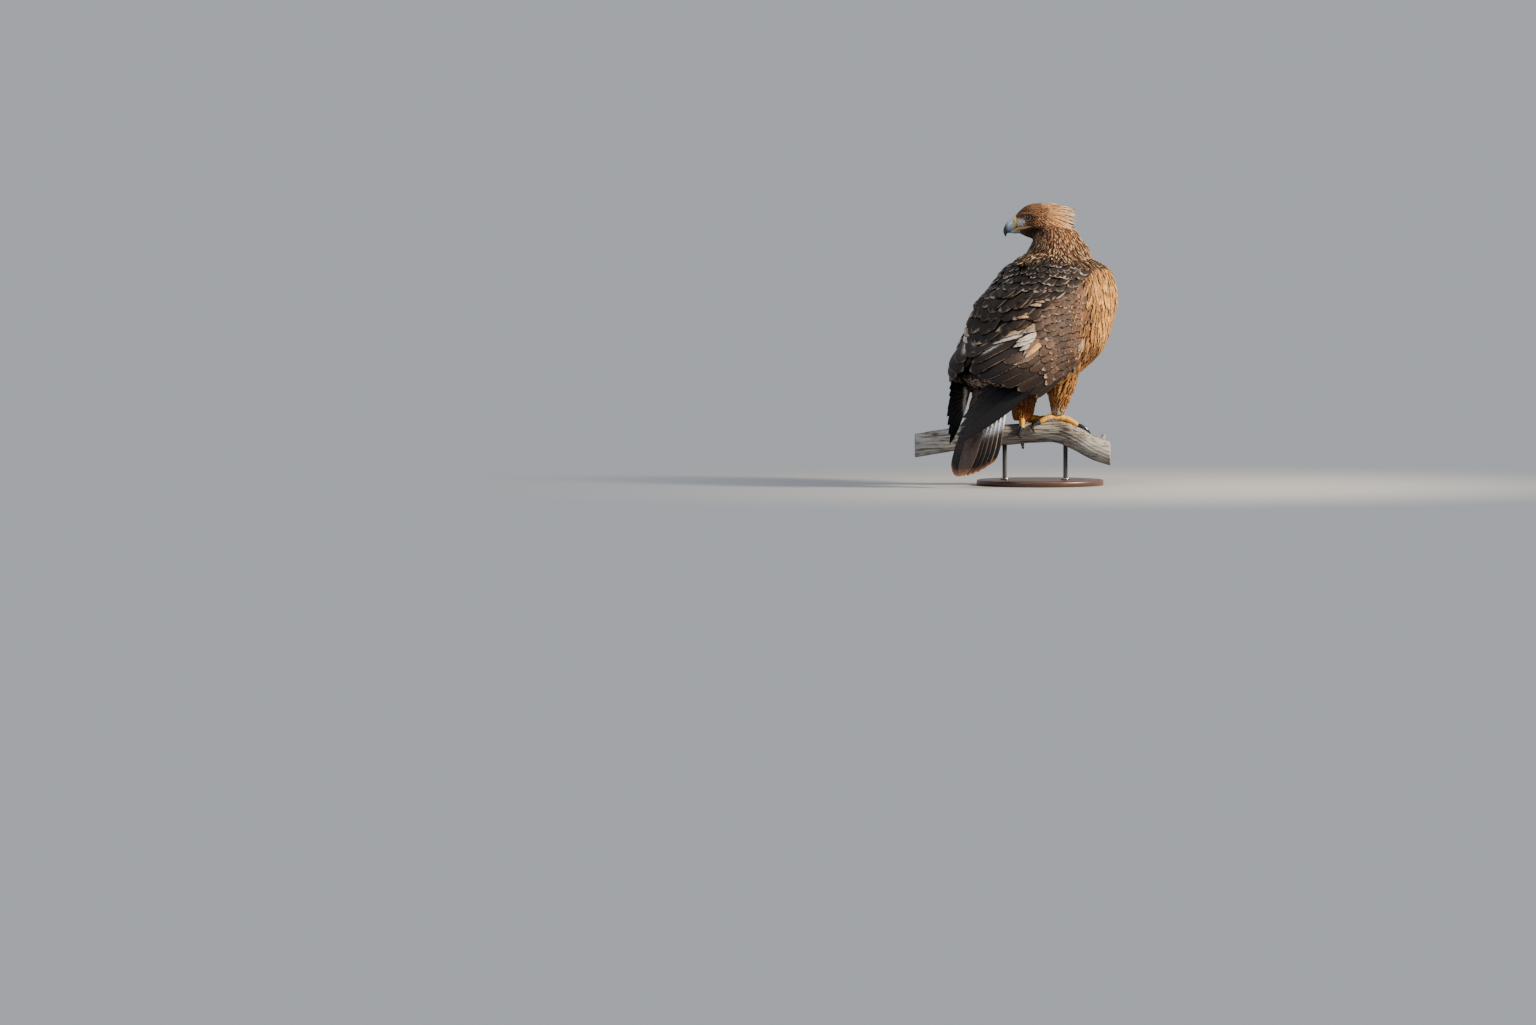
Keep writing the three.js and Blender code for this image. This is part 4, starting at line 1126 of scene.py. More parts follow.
def body_lie(points):
    """Feathers lie down the breast and back, and towards the vent beneath."""
    way = np.zeros((len(points), 3))
    way[:, 2] = -1
    way[:, 1] = 0.25 + 1.3 * smooth(330, 250, points[:, 2])
    return way + RNG.normal(0, 0.12, way.shape)


def leg_lie(points):
    return np.array([0, 0.25, -1.0]) + RNG.normal(0, 0.12, (len(points), 3))


def neck_lie(points):
    return -UP + RNG.normal(0, 0.1, (len(points), 3))


def head_lie(points):
    down = smooth(700, 660, points[:, 2])
    way = -FORWARD[None] * np.ones((len(points), 1)) + np.outer(-0.15 - 0.75 * down, UP)
    outward = np.outer(np.clip(left_of(points) / 20, -1, 1) * 0.15, HEAD_LEFT)
    return way + outward + RNG.normal(0, 0.06, way.shape)


def every(gap):
    """The same gap between feathers everywhere."""
    return lambda points: np.full(len(points), gap)


def graded(near, far, low, high):
    """A gap that changes with height."""
    return lambda points: lerp(near, far, smooth(low, high, points[:, 2]))


# Coats of body, legs, neck and head: gaps between feathers, and where the face begins and ends.
BREAST_GAP = 7.6
WISP_GAP = 8.2
FACE_GAP = 1.75
CROWN_GAP = 2.8
FACE_FROM = 12
FACE_TO = 61


def body_coat(name, surface, part):
    """Contour feathers of one part of breast, belly, flanks and upper back."""
    coat = Feathers(name, surface)
    roots = surface.scatter(every(BREAST_GAP), lambda p: on_body(p) & part(p))
    count = len(roots)
    share = wing_share(roots)
    back = smooth(-70, -20, share)
    length = lerp(RNG.uniform(36, 52, count), RNG.uniform(26, 36, count), back)
    line, normals = march(surface, roots, body_lie, length, 7, RNG.uniform(2, 5.5, count))
    base = vary(skin_colours(roots), 0.2)
    flank = smooth(-210, -130, share) * smooth(-40, -110, share)
    front = smooth(110, 30, np.abs(roots[:, 0]))
    brown = RNG.random(count) < 0.14 + 0.5 * flank + 0.2 * front
    base = np.where(brown[:, None], lerp(base, COVERT_BROWN, 0.7), base)
    edge = tint(lerp(base, PALE_GOLD, RNG.uniform(0.3, 0.9, (count, 1))), PALE_EDGE, back)
    half = lerp(RNG.uniform(4, 6.5, count), RNG.uniform(7, 10, count), back)
    coat.add(line, normals, half, LOOSE, base, edge, columns=5, thick=0.3, cup=0.2,
             roll=RNG.normal(0, 0.1, count), ragged=0.12, fringe=RNG.uniform(0.4, 1, count))
    add_wisps(coat, surface, part)
    return coat.build()


def add_wisps(coat, surface, part):
    """Narrow loose strands that break up the outlines of the breast's feathers."""
    roots = surface.scatter(every(WISP_GAP), lambda p: on_body(p) & part(p) & (wing_share(p) < -90))
    count = len(roots)
    length = RNG.uniform(30, 52, count)
    line, normals = march(surface, roots, body_lie, length, 6, RNG.uniform(4.2, 6.2, count))
    base = vary(skin_colours(roots), 0.22)
    dark = RNG.random((count, 1)) < 0.35
    base = np.where(dark, lerp(base, RUST_DARK, 0.6), lerp(base, PALE_GOLD, 0.12))
    coat.add(line, normals, RNG.uniform(1.1, 2.2, count), LANCE, base, lerp(base, PALE_GOLD, 0.5),
             thick=0.25, cup=0.1, roll=RNG.normal(0, 0.1, count), ragged=0.1)


def leg_coat(surface):
    coat = Feathers("coat_legs", surface)
    roots = surface.scatter(graded(4.6, 8.5, 200, 290), on_leg)
    high = smooth(200, 290, roots[:, 2])
    length = lerp(17, 40, high) * RNG.uniform(0.8, 1.2, len(roots))
    line, normals = march(surface, roots, leg_lie, length, 6, lerp(2.4, 6.5, high))
    base = vary(skin_colours(roots), 0.14)
    coat.add(line, normals, lerp(3.2, 7.5, high), LANCE, base, lerp(base, PALE_GOLD, 0.5), cup=0.2,
             roll=RNG.normal(0, 0.2, len(roots)), ragged=0.08)
    return coat.build()


def uneven_fringe(count, share):
    """A strong pale edge on some feathers, a faint one on the others."""
    strong = RNG.random(count) < share
    return np.where(strong, RNG.uniform(0.6, 1, count), RNG.uniform(0, 0.3, count))


def neck_coat(surface):
    """Lance-shaped hackles down the neck, brown with pale tips."""
    coat = Feathers("coat_neck", surface)
    roots = surface.scatter(graded(3.8, 5.7, 660, 585), on_collar)
    count = len(roots)
    low = smooth(665, 585, roots[:, 2])
    length = lerp(26, 36, low) * RNG.uniform(0.65, 1.3, count)
    lift = lerp(3.5, 4.2, low) * RNG.uniform(0.6, 1.3, count)
    line, normals = march(surface, roots, neck_lie, length, 7, lift)
    throat = throat_share(roots)
    rear = tint(lerp(RUST, RUST_DARK, 0.4), CHEEK, throat * 0.9)
    base = vary(np.where(on_head(roots)[:, None], rear, skin_colours(roots)), 0.25)
    pale = RNG.uniform(0.3, 0.95, count) * lerp(1, 0.45, smooth(604, 584, roots[:, 2]))
    pale = pale * (1 - 0.8 * throat)
    edge = tint(base, lerp(BLOND_TIP, PALE_GOLD, RNG.random((count, 1))), pale)
    coat.add(line, normals, lerp(2.9, 4.6, low), LANCE, base, edge, columns=5, thick=0.4, cup=0.25,
             roll=RNG.normal(0, 0.2, count), ragged=0.06, fringe=uneven_fringe(count, 0.72))
    return coat.build()


def head_coat(name, surface, part, gap):
    """Small flat feathers on the face, longer towards the nape."""
    coat = Feathers(name, surface)

    def kept(p):
        forward = forward_of(p)
        return on_head(p) & clear_of_eyes(p) & clear_of_gape(p) & (forward < FACE_TO) & part(forward)

    roots = surface.scatter(every(gap), kept)
    count = len(roots)
    face = smooth(-14, 40, forward_of(roots))
    length = lerp(16, 7.5, face) * RNG.uniform(0.8, 1.2, count)
    line, normals = march(surface, roots, head_lie, length, 5, lerp(1.9, 0.8, face))
    base = vary(head_colours(roots), 0.2)
    streak = RNG.random(count) < lerp(0.3, 0.5, smooth(700, 715, roots[:, 2]))
    base = tint(base, RUST_DARK, streak * 0.65)
    pale = RNG.uniform(0.05, 0.4, (count, 1)) * lerp(1, 0.6, face)[:, None]
    edge = lerp(base, BLOND_TIP, pale * smooth(0.01, 0.08, base.mean(1, keepdims=True)))
    coat.add(line, normals, lerp(2.6, 1.35, face), LANCE, base, edge, thick=0.2, cup=0.25,
             roll=RNG.normal(0, 0.2, count), ragged=0.05, fringe=0.8)
    return coat


# Rings of nape hackles: place, length, count.
HACKLES = [(-44, 54, 22), (-38, 58, 28), (-30, 58, 30), (-21, 54, 34), (-11, 46, 36), (0, 38, 38)]


def add_nape_hackles(coat):
    """Long pointed hackles that stand off the back of the head."""
    for forward, long, count in HACKLES:
        angle = np.radians(np.linspace(-12, 192, count) + RNG.normal(0, 3, count))
        half, low, high = head_at(forward)
        top = np.sin(angle)
        reach = long * RNG.uniform(0.75, 1.12, count)
        slope = lerp(0.5, 0.13, smooth(0, 1, top)) + RNG.normal(0, 0.05, count)
        slope = np.maximum(slope, 0.07)
        lines = []
        for t in np.linspace(0, 1, 9):
            out = lerp(-2.5, 1.2, smooth(0, 0.35, t)) - t * 1.5
            left = np.cos(angle) * (half + out) * (1 - 0.42 * t)
            height = (low + high) / 2 + top * ((high - low) / 2 + out) - slope * reach * t
            lines.append(in_head(forward - reach * t, left, height))
        line = np.stack(lines, 1)
        away = np.outer(np.cos(angle), HEAD_LEFT) + np.outer(top, UP)
        normals = np.repeat(away[:, None], len(lines), 1)
        base = vary(lerp(head_colours(line[:, 0]), BLOND, 0.35), 0.16)
        tip = lerp(BLOND, BLOND_TIP, RNG.uniform(0.2, 1, (count, 1)))
        coat.add(line, normals, RNG.uniform(3, 4.6, count), LANCE, base, tip, columns=5, cup=0.25,
                 roll=RNG.normal(0, 0.14, count), ragged=0.05, fringe=0.95)


# Wing feathers, by place along the branch and height of their tips; side -1 is the right wing.
WING_ROLL = math.radians(-11)


def lay_on_wing(spots, lift, side):
    """Mid lines on a wing through rows of places and heights, from roots to tips."""
    low, high = lift
    lines = []
    frames = []
    for t, (place, height) in zip(np.linspace(0, 1, len(spots)), spots):
        point, normal = wing_frame(place, height, lerp(low, high, np.minimum(t * 1.3, 1) ** 0.9))
        lines.append(point)
        frames.append(normal)
    flip = (-side, 1, 1)
    return np.stack(lines, 1) * flip, np.stack(frames, 1) * flip


def leaning_lines(tips, length, lean, lift, rows, side):
    """Mid lines that end at tips, each with its own length and lean in degrees."""
    lean = np.radians(lean)
    backs = [length * (1 - t) for t in np.linspace(0, 1, rows)]
    spots = [(tips[:, 0] + back * np.cos(lean), tips[:, 1] + back * np.sin(lean)) for back in backs]
    return lay_on_wing(spots, lift, side)


def drawn_lines(roots, tips, lift, rows, side):
    """Mid lines between roots and tips."""
    roots = np.asarray(roots, float)
    tips = np.asarray(tips, float)
    spots = [lerp(roots, tips, t).T for t in np.linspace(0, 1, rows)]
    return lay_on_wing(spots, lift, side)


def between(first, last, count, jitter):
    t = np.linspace(0, 1, count)[:, None]
    return lerp(np.array(first, float), np.array(last, float), t) + RNG.normal(0, jitter, (count, 2))


# Rows of coverts: first and last tip, length, lean, count, half width, height of tips.
COVERT_ROWS = [
    ((106, 492), (94, 316), 30, 56, 13, 10.5, 2.6), ((95, 498), (88, 310), 30, 55, 13, 10.5, 2.8),
    ((83, 500), (82, 306), 31, 55, 13, 11, 3.0), ((70, 504), (76, 302), 33, 54, 13, 11.5, 3.2),
    ((56, 504), (70, 298), 35, 53, 13, 12, 3.5), ((41, 504), (63, 294), 37, 52, 13, 12.5, 3.8),
    ((25, 504), (55, 289), 40, 50, 13, 13, 4.1), ((7, 502), (45, 284), 44, 49, 13, 13.5, 4.4),
    ((-13, 498), (30, 275), 50, 46, 13, 14.5, 4.7), ((-36, 490), (10, 266), 62, 42, 12, 15.5, 4.8),
]
# Rows of scapulars: first and last tip, length, lean, count, half width, height of roots and tips.
SCAPULAR_ROWS = [
    ((-168, 372), (-112, 390), 90, 42, 4, 20, (-4, 6)), ((-156, 402), (-76, 414), 96, 42, 5, 21, (-4, 6.5)),
    ((-146, 434), (-44, 440), 90, 40, 6, 21, (-4, 7)), ((-132, 462), (-14, 464), 78, 38, 7, 19, (-4, 7.5)),
    ((-116, 488), (18, 488), 66, 35, 9, 16, (-4, 8)), ((-96, 512), (50, 508), 54, 32, 11, 14, (-4, 8)),
    ((-76, 532), (76, 522), 44, 30, 12, 12.5, (-4, 8)), ((-54, 550), (94, 536), 36, 27, 13, 11, (-4, 7)),
    ((-38, 564), (98, 549), 31, 25, 13, 10, (-5, 6)), ((-28, 578), (94, 563), 28, 22, 13, 9, (-8, 4)),
]
# Pale feathers of the middle wing: root, tip, half width, colour, height of the tip.
PALE_FEATHERS = [
    ((44, 480), (-30, 472), 7, "a98d70", 10.5), ((40, 486), (-16, 481), 6, "8e7660", 10),
    ((-6, 454), (-64, 440), 8, "a98462", 10.5), ((40, 414), (-44, 338), 8, "c79653", 8.2),
    ((24, 420), (-48, 346), 9, "6b5140", 7.4), ((12, 404), (-74, 366), 10, "aaa29c", 7.8),
    ((18, 412), (-66, 378), 8, "bdb6b0", 8.2), ((6, 396), (-58, 356), 8, "aba39f", 7.4),
    ((114, 402), (97, 350), 8, "8f8279", 5.2), ((-8, 430), (-112, 390), 11, "94806f", 6.8),
    ((20, 436), (-50, 402), 11, "8c7562", 6.6), ((22, 380), (-74, 320), 13, "54423a", 6.2),
    ((-16, 418), (-132, 372), 10, "b3a8a1", 6.0),
]
# Rows over the wing's front edge: place, highest and lowest root, count.
FRONT_ROWS = [
    (136, 540, 330, 18), (128, 546, 320, 20), (118, 536, 314, 18), (106, 520, 318, 12), (92, 500, 330, 7),
]


def wing_coverts(name, side, surface):
    """Rows of small feathers over the wing, the shoulder's big ones and a few pale ones."""
    coat = Feathers(name, surface)
    roll = WING_ROLL * -side
    for first, last, length, lean, count, half, high in reversed(COVERT_ROWS):
        tips = between(first, last, count, 2)
        length = length * RNG.uniform(0.9, 1.1, count)
        line, normals = leaning_lines(tips, length, lean + RNG.normal(0, 3, count), (-3.5, high), 9, side)
        base = tint(COVERT_BROWN, RUST, smooth(70, 110, tips[:, 0]) * 0.5)
        base = vary(lerp(base, GREY_BROWN, RNG.uniform(0, 0.55, (count, 1))), 0.16)
        pale = lerp(PALE_EDGE, WHITE, RNG.uniform(0, 0.4, (count, 1)))
        edge = lerp(base, pale, RNG.uniform(0.3, 1, (count, 1)))
        coat.add(line, normals, half * RNG.uniform(0.9, 1.1, count), ROUND, base, edge, columns=7, thick=0.45,
                 cup=0.16, roll=roll + RNG.normal(0, 0.05, count), ragged=0.04,
                 fringe=uneven_fringe(count, 0.6))
    add_scapulars(coat, side, roll)
    add_pale_feathers(coat, side, roll)
    add_front_edge(coat, side)
    return coat.build()


def add_scapulars(coat, side, roll):
    """Dark rounded feathers over the shoulder, small at the top and big low down."""
    for first, last, length, lean, count, half, lift in SCAPULAR_ROWS:
        shoulder = smooth(470, 520, first[1])
        tips = between(first, last, count, 3.5)
        length = length * RNG.uniform(0.85, 1.15, count)
        line, normals = leaning_lines(tips, length, lean + RNG.normal(0, 6, count), lift, 12, side)
        base = vary(repeated(lerp(BLACK_BROWN, DARK_BROWN, 0.35), count), 0.3)
        edge = lerp(base, lerp(PALE_EDGE, WHITE, 0.3 * shoulder), RNG.uniform(0.3, 1, (count, 1)))
        coat.add(line, normals, half * RNG.uniform(0.85, 1.1, count), ROUND, base, edge, columns=9, thick=0.6,
                 cup=0.2, roll=roll + RNG.normal(0, 0.08, count), ragged=0.04,
                 fringe=uneven_fringe(count, lerp(0.2, 0.75, shoulder)))


def brown_ends(colours, x, t):
    streak = 0.25 * np.sin(x * 9 + t * 5)
    share = smooth(0.4, 0.1, t) + smooth(0.75, 1.05, t + streak * 0.4)
    return lerp(colours, COVERT_BROWN, np.clip(share, 0, 0.85))


def add_pale_feathers(coat, side, roll):
    for root, tip, half, code, lift in PALE_FEATHERS:
        line, normals = drawn_lines([root], [tip], (-3, lift), 16, side)
        base = srgb(code)[None]
        coat.add(line, normals, half, LOOSE, base, lerp(base, WHITE, 0.4), columns=9, cup=0.2,
                 roll=roll + RNG.normal(0, 0.08, 1), ragged=0.2, fringe=0.6, shade=brown_ends)


def add_front_edge(coat, side):
    """Gold and rusty feathers of the flank that lie over the wing's front edge."""
    for place, high, low, count in FRONT_ROWS:
        z = np.linspace(high, low, count) + RNG.normal(0, 4, count)
        drift = smooth(420, 310, z) * 20
        roots = np.stack([place - drift + RNG.normal(0, 5, count), z], -1)
        tips = roots + np.stack([RNG.uniform(-17, -7, count), RNG.uniform(-46, -32, count)], -1)
        line, normals = drawn_lines(roots, tips, (-5, 3.2), 8, side)
        base = vary(lerp(GOLD, COVERT_BROWN, RNG.uniform(0, 1, (count, 1))), 0.15)
        edge = lerp(base, PALE_GOLD, 0.5)
        coat.add(line, normals, RNG.uniform(4, 7, count), LOOSE, base, edge, columns=5, thick=0.4, cup=0.2,
                 roll=RNG.normal(0, 0.15, count), ragged=0.12, fringe=0.8)


# Long feathers of the closed wing: root, tip, half width, height of the tip.
SECONDARIES = [
    ((118, 346), (-14, 234), 19, -1.0), ((112, 350), (-34, 246), 21, 0.0), ((98, 362), (-62, 254), 22, 0.8),
    ((80, 372), (-104, 268), 23, 1.6), ((58, 384), (-140, 280), 24, 2.4), ((34, 398), (-164, 290), 24, 3.2),
    ((8, 414), (-187, 304), 24, 4.0),
]
GREATER_COVERTS = [
    ((104, 350), (36, 286), 13, 1.6), ((100, 362), (18, 290), 14, 2.2), ((86, 370), (-6, 296), 15, 2.8),
    ((70, 376), (-30, 304), 16, 3.4), ((50, 384), (-62, 316), 17, 4.0), ((30, 398), (-98, 326), 18, 4.6),
]
TERTIALS = [
    ((-6, 430), (-180, 326), 22, 4.8), ((-34, 444), (-176, 350), 21, 5.4), ((-60, 440), (-186, 338), 18, 5.2),
]
PRIMARY_TIPS = (
    (-224, 113), (-219, 136), (-212, 160), (-204, 183), (-192, 200), (-178, 216), (-168, 234), (-158, 252),
)
PRIMARY_ROOT = (-20.0, 272.0)
PRIMARY_STEP = 1.7
# Share of the primaries' swing towards the tail, and how far their tips stand out, by side.
WING_SWING = {-1: (1.0, 6.0), 1: (0.68, 9.0)}


def wing_quills(name, side, surface):
    """Secondaries, their long coverts, tertials with white bases, and the wing's tip."""
    coat = Feathers(name, surface)
    roll = WING_ROLL * -side * 0.8
    add_primaries(coat, side)

    def long_row(rows, base, edge, fringe, shade=None):
        roots, tips, half, lift = zip(*rows)
        line, normals = drawn_lines(roots, tips, (-6, np.array(lift)), 26, side)
        base = vary(repeated(base, len(rows)), 0.18)
        coat.add(line, normals, half, FLIGHT, base, repeated(edge, len(rows)), columns=11, thick=0.7, cup=0.1,
                 roll=roll, fringe=fringe, shade=shade)

    def brown_tip(colours, x, t):
        return lerp(colours, COVERT_BROWN, smooth(0.4, 1, t) * 0.2)

    def white_base(colours, x, t):
        barbed = 0.7 + 0.3 * np.sin(t * 70 + np.abs(x) * 8)
        white = smooth(0.9, 0.72, t) * smooth(0.3, 0.5, t) * smooth(0.15, -0.5, x * side) * barbed
        return lerp(colours, WHITE, white * 0.8)

    long_row(SECONDARIES, BLACK_BROWN, lerp(PALE_EDGE, WHITE, 0.2), 0.95, brown_tip)
    long_row(GREATER_COVERTS, lerp(DARK_BROWN, COVERT_BROWN, 0.6), PALE_EDGE, 0.9)
    long_row(TERTIALS, DARK_BROWN, PALE_EDGE, 1.0, white_base)
    return coat.build()


def primary_lines(side):
    """Mid lines of the wing tip's feathers, all in one plane, each a step below the last."""
    swing, out = WING_SWING[side]
    root, root_normal = wing_frame(*PRIMARY_ROOT, -3)
    tips = np.array(PRIMARY_TIPS, float)
    tips[:, 0] = lerp(PRIMARY_ROOT[0], tips[:, 0], swing)
    longest, tip_normal = wing_frame(tips[0, 0], tips[0, 1], out)
    run = unit(longest - root)
    normal = root_normal + tip_normal
    normal = unit(normal - run * (normal @ run))
    ends = tips[:, :1] * ALONG + tips[:, 1:] * UP
    depth = ((root - ends) @ normal) / (ACROSS @ normal)
    ends = ends + depth[:, None] * ACROSS
    sink = np.arange(len(tips))[:, None] * PRIMARY_STEP * normal
    t = np.linspace(0, 1, 24)[None, :, None]
    line = lerp((root - sink)[:, None, :], (ends - sink)[:, None, :], t)
    flip = (-side, 1, 1)
    return line * flip, np.broadcast_to(normal, line.shape) * flip


def add_primaries(coat, side):
    """Black blades of the wing tip, a flat fan over the tail."""
    line, normals = primary_lines(side)
    count = len(line)
    # The blue in this black is a painted reflection of the sky.
    base = vary(repeated(BLACK_WITH_SKY_SHEEN, count), 0.12)

    def white_patch(colours, x, t):
        patch = smooth(0.3, 0.36, t) * smooth(0.5, 0.42, t) * smooth(0.35, 0.8, x) * (side > 0)
        return lerp(colours, WHITE, patch * 0.8)

    edge = repeated(lerp(GREY_BROWN, PALE_EDGE, 0.3), count)
    coat.add(line, normals, 20 + np.arange(count) * 0.5, BLADE, base, edge, columns=11, thick=0.8, cup=0.06,
             roll=math.radians(2) * side, fringe=0.8, shade=white_patch)


def tail_coat(surface):
    coat = Feathers("coat_tail", surface)
    count = TAIL_FEATHERS
    side = np.linspace(-1, 1, count)
    order = np.abs(side) * count / 2 + (side > 0) * 0.5
    tip = 1 - 0.09 * np.abs(side) ** 2.2 + 0.02 * side
    t = np.linspace(0, 1, 30)
    share = TAIL_ROOT + (tip[:, None] - TAIL_ROOT) * t[None]
    across = side[:, None] * lerp(TAIL_ROOT_SPREAD, TAIL_HALF_SPREAD, t[None] ** 0.7)
    line, normals = tail_frame(share, across, (-order * 2.1 + 4)[:, None] + 0 * share)
    base = vary(repeated(BLACK_BROWN, count), 0.12)
    middle = smooth(0.24, 0.1, np.abs(side))[:, None, None]

    def banded(colours, x, t):
        white = smooth(0.66, 0.5, t + 0.05 * np.sin(x * 3)) * (1 - middle * 0.8)
        grey = smooth(0.84, 0.55, t)
        colours = lerp(colours, GREY_BROWN, np.maximum(grey * 0.6, middle * 0.75))
        colours = lerp(colours, BLUE_WHITE, white)
        return lerp(colours, TIP_BUFF, smooth(0.95, 0.985, t) * 0.9)

    edge = repeated(lerp(TAN, WHITE, 0.4), count)
    coat.add(line, normals, TAIL_VANE, FLIGHT, base, edge, columns=13, thick=0.8, cup=0.05,
             fringe=RNG.uniform(0, 0.4, count), shade=banded)
    add_tail_coverts(coat)
    return coat.build()


# Rows of tail coverts: first place, length, count, half width, height of tips.
TAIL_COVERTS = ((0.2, 0.36, 6, 17, 6), (0.12, 0.34, 7, 17, 10), (0.04, 0.3, 7, 16, 14))


def add_tail_coverts(coat):
    """Dark coverts over the root of the tail and golden ones under it."""
    t = np.linspace(0, 1, 14)[None]
    for start, long, count, half, rise in TAIL_COVERTS:
        side = np.linspace(-1, 1, count)
        above = (1, 36, 1.0, lerp(1.0, rise, t ** 0.6), DARK_BROWN, WHITE)
        below = (-1, 34, 1.05, -lerp(7, 14 + rise * 0.6, t), GOLD, PALE_GOLD)
        for way, spread, longer, lift, base, edge in (above, below):
            share = start + long * t * longer + 0 * side[:, None]
            line, normals = tail_frame(share, side[:, None] * spread + 0 * share, lift + 0 * share)
            base = vary(repeated(lerp(base, GREY_BROWN, 0.5), count), 0.12)
            coat.add(line, normals * way, half, ROUND, base, repeated(edge, count), columns=7, thick=0.6,
                     cup=0.15, roll=-way * side * 0.1)


# Bare parts: bill, eyes, feet, claws.
SIDE_NAMES = {-1: "right", 1: "left"}
NOSTRIL = (62.5, 684.0)
# Parts of the bill: name, profile, rings, sides, lightness, which is painted shade on the lower bill under
# the upper one.
BILL_PARTS = (("upper", BILL_UPPER, 140, 72, 1), ("lower", BILL_LOWER, 30, 28, 0.6))


def join(pieces):
    """Makes the first piece out of all of them."""
    bpy.ops.object.select_all(action="DESELECT")
    for piece in pieces:
        piece.select_set(True)
    bpy.context.view_layer.objects.active = pieces[0]
    bpy.ops.object.join()
    return pieces[0]


def bill_rings(rows, count, sides):
    """Rings between the bill's two edges, a little narrower above."""
    table = smooth_table([(i, *row) for i, row in enumerate(rows)])
    angle = np.arange(sides) / sides * 2 * math.pi
    pinch = 1 - 0.12 * np.maximum(np.sin(angle), 0) ** 2
    rings = []
    for place in np.linspace(0, len(rows) - 1, count):
        over_f, over_h, under_f, under_h, half = table(place)
        top = in_head(over_f, 0, over_h)
        bottom = in_head(under_f, 0, under_h)
        radius = np.linalg.norm(top - bottom) / 2
        across = np.cos(angle)[:, None] * (half * pinch)[:, None] * HEAD_LEFT
        over = np.sin(angle)[:, None] * radius * unit(top - bottom)
        rings.append((top + bottom) / 2 + across + over)
    return np.array(rings)


def nostril_share(forward, z):
    """1 in the middle of the slanted nostril, falling to 0 outside it."""
    along = (forward - NOSTRIL[0]) * 0.5 + (z - NOSTRIL[1]) * 0.86
    over = (forward - NOSTRIL[0]) * 0.86 - (z - NOSTRIL[1]) * 0.5
    return smooth(1.25, 0.7, np.hypot(along / 3.1, over / 1.5))


def bill_colours(points):
    """Blue-grey horn, dark at the hook, with a yellow cere and painted shade in the nostrils."""
    forward = forward_of(points)
    z = points[:, 2]
    horn = tint(HORN_BLUE, HORN_BLACK, smooth(72, 88, forward + (672 - z) * 0.3))
    wave = 1.2 * np.sin(z * 0.35)
    cere = smooth(68, 64, forward - (z - 684) * 0.1 + wave) * smooth(662, 668, z)
    # The nostrils are painted dark as shade inside their openings.
    return tint(tint(horn, CERE_YELLOW, cere * 0.9), NOSTRIL_SHADE, nostril_share(forward, z))


def shape_bill(mesh):
    """Sinks the nostrils and swells the cere a little over the horn."""
    points = mesh_points(mesh)
    forward = forward_of(points)
    left = left_of(points)
    move = 0.6 * smooth(68, 66, forward) - 1.6 * nostril_share(forward, points[:, 2])
    points += np.outer(np.sign(left) * move * smooth(1, 6, np.abs(left)), HEAD_LEFT)
    move_points(mesh, points)


def build_bill(material):
    for part, rows, count, sides, light in BILL_PARTS:
        mesh = loft_mesh(f"bill_{part}_horn", bill_rings(rows, count, sides))
        if part == "upper":
            shape_bill(mesh)
        # The lower bill's colours are darkened as painted shade under the upper bill.
        paint(mesh, "Base", bill_colours(mesh_points(mesh)) * light)
        wear(link(mesh.name, mesh), material, "bill", f"bill_{part}")


# The mouth's edge: forward, outward, height, then half width of the lip.
GAPE_PATH = [
    (68, 11.6, 661.5, 0.5), (62, 13.2, 662.6, 1.7), (53, 16.5, 664.2, 2.9), (42, 24, 666.2, 2.7),
    (32, 29, 668.4, 2.2), (23, 32, 670.4, 1.6), (15, 34, 671.8, 0.5),
]
GAPE_SIDES = 32


def gape_groove(width):
    """The dark line between the lips, as shares round one ring."""
    around = (np.arange(GAPE_SIDES) + GAPE_SIDES // 2) % GAPE_SIDES - GAPE_SIDES / 2
    return np.exp(-around ** 2 / width)


def build_gape(side, surface, material):
    """The bare yellow lips at the mouth's corner, which run back under the eye."""
    rows = spline(GAPE_PATH, 60)
    own = in_head(rows[:, 0], side * rows[:, 1], rows[:, 2])
    path, normals, _ = surface.nearest(own)
    beak = smooth(50, 58, rows[:, 0])
    path = tint(path, own, beak)
    normals = unit(tint(normals, side * HEAD_LEFT, beak))
    run = unit(np.gradient(path, axis=0))
    rings = []
    for centre, normal, way, half in zip(path, normals, run, rows[:, 3]):
        over = unit(np.cross(normal, way))
        lip = ring(centre + normal * 0.1, normal, over, half * 0.55, half, GAPE_SIDES)
        rings.append(lip - gape_groove(3)[:, None] * normal * half * 0.35)
    mesh = loft_mesh(f"gape_{SIDE_NAMES[side]}", rings)
    dark = np.append(np.tile(gape_groove(2), len(rings)), (0, 0))
    paint(mesh, "Base", tint(LIP_YELLOW, MOUTH, dark * 0.9))
    wear(link(mesh.name, mesh), material, "bill")


def sphere_mesh(name, centre, radius, axis, rows, columns):
    """A sphere whose poles lie on axis, for rings of colour round it."""
    axis = unit(axis)
    side = unit(np.cross(axis, UP))
    over = np.cross(side, axis)
    rings = []
    for angle in np.linspace(0.04, math.pi - 0.04, rows):
        middle = centre + axis * math.cos(angle) * radius
        wide = math.sin(angle) * radius
        rings.append(ring(middle, side, over, wide, wide, columns))
    return loft_mesh(name, rings)


